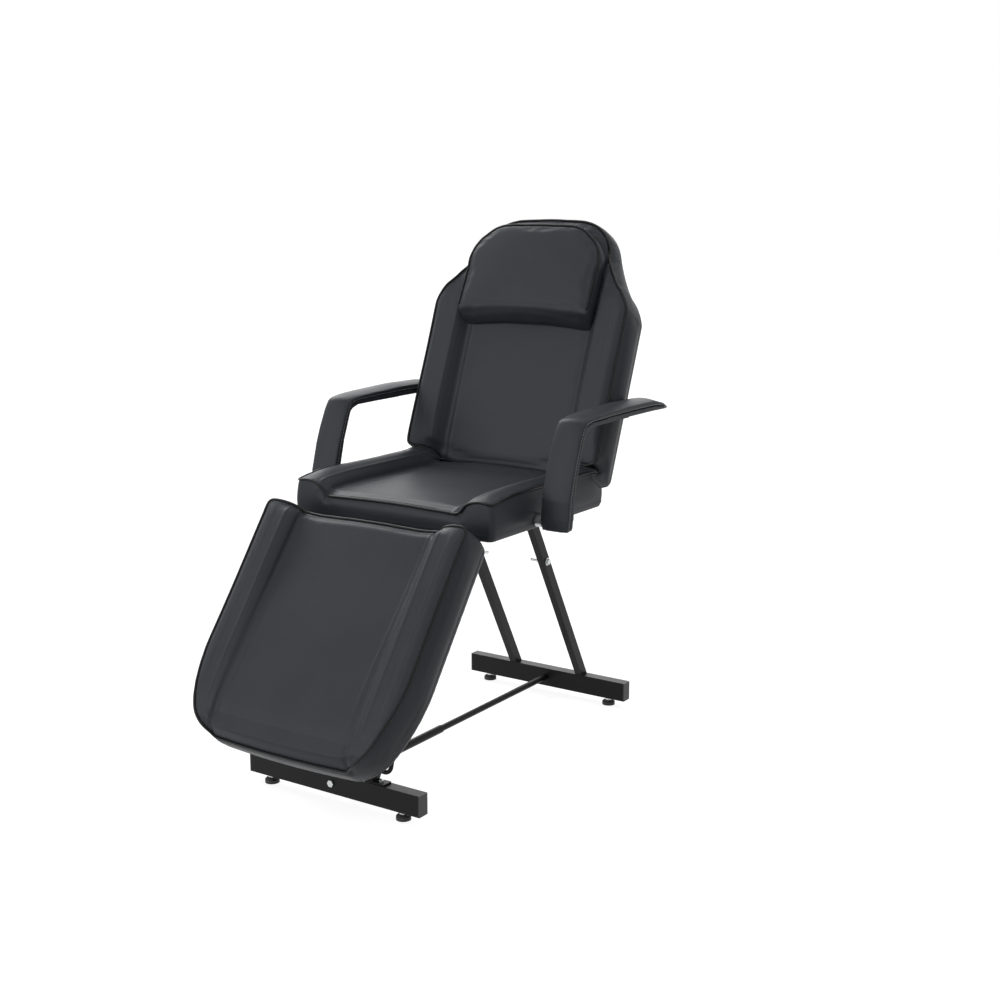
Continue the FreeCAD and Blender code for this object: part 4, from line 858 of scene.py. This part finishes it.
def run_tree(name, paths, closed, tree, values):
    """Give paths to a node tree, set its named inputs and keep the plain mesh that comes out."""
    mesh = bpy.data.meshes.new(name)
    spots, edges = [], []
    for path in paths:
        base, count = len(spots), len(path)
        steps = count if closed else count - 1
        edges += [(base + index, base + (index + 1) % count) for index in range(steps)]
        spots += [tuple(point) for point in path]
    mesh.from_pydata(spots, edges, [])
    item = bpy.data.objects.new(name, mesh)
    scene.collection.objects.link(item)
    maker = item.modifiers.new("maker", "NODES")
    maker.node_group = tree
    for socket in tree.interface.items_tree:
        if socket.in_out == "INPUT" and socket.name in values:
            maker[socket.identifier] = values[socket.name]
    bake(item)
    return item


# %% Draw the cover in beside a line
SEAM_REACH_MM = 8.0
SEAM_DEPTH_MM = 2.6


def draw_in(cover, lines, reach_mm, depth_mm):
    """Pull the cover in along lines, or push it out where the depth is negative."""
    near = spot_finder([Vector(point) for line in lines for point in line])
    table = points_of(cover.data)
    looks = normals_of(cover.data)
    for index, point in enumerate(table):
        distance = near.find(Vector(point))[2]
        if distance < reach_mm * MM:
            share = 1 - distance / (reach_mm * MM)
            table[index] -= looks[index] * depth_mm * MM * share * share * (3 - 2 * share)
    set_points(cover.data, table)


def laid_on(path, cover, out_mm):
    """Move a path onto a cover, raised by a given amount."""
    tree = BVHTree.FromObject(cover, bpy.context.evaluated_depsgraph_get())
    laid = []
    for point in path:
        spot, normal, _, _ = tree.find_nearest(Vector(point))
        laid.append(spot + normal * out_mm * MM)
    return np.array([tuple(point) for point in laid])


# %% Welts on the seat, the back, the leg rest and the pillow
WELT_MM = 6.4
WELT_RAISE_MM = 2.3
PATH_STEP_MM = 5.0
PILLOW_FOLD_U = 0.452


def above_fold(point):
    """The pillow's welt ends where its cover folds under."""
    return (HOMES["back"].inverted() @ Vector(point)).y > PILLOW_FOLD_U


def add_welt(cover_name, node, home, body, keep=None):
    """Draw a cover in along its rim and lay a welt there, all the way round or only where a test says."""
    closed = keep is None
    path = relax(evenly(rim_of(node, home), PATH_STEP_MM * MM), rounds=3)
    if keep:
        path = run_where(path, keep)
    if cover_name == "back_cover":
        path = settled(path)
    draw_in(covers[cover_name], [path], SEAM_REACH_MM, SEAM_DEPTH_MM)
    path = relax(laid_on(path, covers[cover_name], WELT_RAISE_MM), rounds=2, closed=closed)
    values = {"Radius": WELT_MM * MM / 2, "Sides": 10, "Finish": welt_leather_with_painted_shade}
    welt = run_tree(cover_name.replace("cover", "welt"), [path], closed, TUBE_TREE, values)
    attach(welt, body)
    print(welt.name, "length", round(sum(np.linalg.norm(np.diff(path, axis=0), axis=1)), 3), "m")


for name, node, body, home, *_ in PADS:
    add_welt(name, node, home, body, above_fold if node == "head_pillow" else None)

# %% [markdown]
# ## Channels
# The seat, the back and the leg rest each have two long channels where a raised side panel meets the
# flat middle. On the real chair a hidden seam draws the cover down at the slope, and a soft fold runs
# beside it above and below. The folds catch the light as thin streaks.

# %% Draw the channels and their folds
FOLD_ABOVE_MM = 27.0
FOLD_BELOW_MM = 15.0
FOLD_REACH_MM = 6.5
FOLD_RISE_MM = 1.1
CHANNEL_REACH_MM = 11.0
REAR_INSET_MM = 4.0
# Each pad: its cover, its home, how far out its channels lie, how deep they are and where they start,
# in mm from the pad's front end
CHANNELS = [("seat_cover", "seat", 0.190, 2.2, 4.0), ("back_cover", "back", 0.186, 2.0, 4.0),
            ("legrest_cover", "legrest", 0.192, 3.0, 34.0)]

for cover_name, home, channel_x, depth_mm, start_mm in CHANNELS:
    cover = covers[cover_name]
    along = moved(points_of(cover.data), HOMES[home].inverted())[:, 1]
    first, last = along.min() + start_mm * MM, along.max() - REAR_INSET_MM * MM
    lines = [line_on(cover, home, side * channel_x, first, last) for side in (-1, 1)]
    folds = [line_on(cover, home, side * (channel_x + shift * MM), first, last)
             for side in (-1, 1) for shift in (FOLD_ABOVE_MM, -FOLD_BELOW_MM)]
    draw_in(cover, lines, CHANNEL_REACH_MM, depth_mm)
    draw_in(cover, folds, FOLD_REACH_MM, -FOLD_RISE_MM)
    print(cover_name, "channels from", round(first, 3), "to", round(last, 3))

for name, node, body, _, _, _, fill in PADS:
    cover = covers[name]
    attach(cover, body)
    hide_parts(node)
for node in ARM_NODES:
    cover = covers[node + "_cover"]
    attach(cover, "base")
    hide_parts(node)

# %% [markdown]
# ## Stitches
# The armrests are sewn with a pale grey thread: one row of stitches beside the seam on each side.

# %% Sew the armrests
STITCH_MM = 4.6
STITCH_STEP_MM = 6.6
STITCH_THICK_MM = 1.2
SEAM_SHIFT_MM = 3.0
SEAM_STEP_MM = 3.0
ROW_SHARE = 0.3
STITCH_REACH_MM = 4.0
STITCH_DEPTH_MM = 0.5
STITCH_RAISE_MM = 0.25


def sew_arm(hand, seed):
    """Two rows of stitches on an arm pad, one on each side of the arm, beside the seam with its board."""
    node = "%s_arm_pad" % hand
    cover = covers[node + "_cover"]
    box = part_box(node)
    middle, width = (box[0].x + box[1].x) / 2, box[1].x - box[0].x
    seam = seam_between(node, "%s_arm_board" % hand, SEAM_SHIFT_MM)
    path = evenly(seam, SEAM_STEP_MM * MM)
    count = 0
    for side in (-1, 1):
        row = run_where(path, lambda point: side * (point[0] - middle) > ROW_SHARE * width)
        row = relax(row, rounds=4, closed=False)
        draw_in(cover, [row], STITCH_REACH_MM, STITCH_DEPTH_MM)
        row = laid_on(row, cover, STITCH_RAISE_MM)
        values = {"Spacing": STITCH_STEP_MM * MM, "Length": STITCH_MM * MM,
                  "Thickness": STITCH_THICK_MM * MM, "Seed": seed + side, "Finish": stitch_thread}
        stitches = run_tree("%s_arm_stitches_%s" % (hand, "outer" if side * middle > 0 else "inner"),
                            [row], False, BAR_TREE, values)
        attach(stitches, "base")
        count += len(stitches.data.vertices)
    print(node, "stitches, points", count)


for seed, hand in enumerate(("right", "left")):
    sew_arm(hand, 20 + 10 * seed)

# %% [markdown]
# ## Staples
# The leather and the dust cover are stapled to the underside of each board, a thumb's width in from
# its edge. No staple lies where a steel bar runs over the board's edge.

# %% Staple the undersides
STAPLE_IN_MM = 9.0
STAPLE_STEP_MM = 24.0
STAPLE_MM = 10.0
STAPLE_THICK_MM = 0.9
STAPLE_OUT_SHARE = 0.2
BAR_ROOM_MM = 22.0
OUTLINE_STEP_MM = 4.0
SHORTEST_RUN = 7
UNDERSIDE_LOOKS_DOWN = 0.99
EDGE_LOOKS_DOWN = 0.2


def staple_board(board, home, body, seed):
    """Staples along the outline of a board's underside, but not under its two bars."""
    down = (HOMES[home].to_3x3() @ Vector((0, 0, -1))).normalized()

    def taken(edge):
        side, face = sorted(edge.link_faces, key=lambda item: item.normal.dot(down))
        if face.normal.dot(down) < UNDERSIDE_LOOKS_DOWN or abs(side.normal.dot(down)) > EDGE_LOOKS_DOWN:
            return None
        return side.normal * -STAPLE_IN_MM * MM + down * STAPLE_THICK_MM * MM * STAPLE_OUT_SHARE

    path = evenly(longest_chain(board, taken), OUTLINE_STEP_MM * MM)
    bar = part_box("left_back_bar" if home == "back" else "left_seat_rail")
    bar_middle = (bar[0].x + bar[1].x) / 2
    runs, run = [], []
    for point in path:
        if abs(abs(point[0]) - bar_middle) > BAR_ROOM_MM * MM:
            run.append(point)
        elif run:
            runs.append(run)
            run = []
    runs = [run for run in runs + [run] if len(run) >= SHORTEST_RUN]
    values = {"Spacing": STAPLE_STEP_MM * MM, "Length": STAPLE_MM * MM,
              "Thickness": STAPLE_THICK_MM * MM, "Seed": seed, "Finish": zinc_plate}
    staples = run_tree(board + "_staples", runs, False, BAR_TREE, values)
    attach(staples, body)
    print(board, "staples in", len(runs), "rows")


staple_board("seat_board", "seat", "base", 51)
staple_board("back_board", "back", "backrest", 52)
staple_board("legrest_board", "legrest", "legrest", 53)
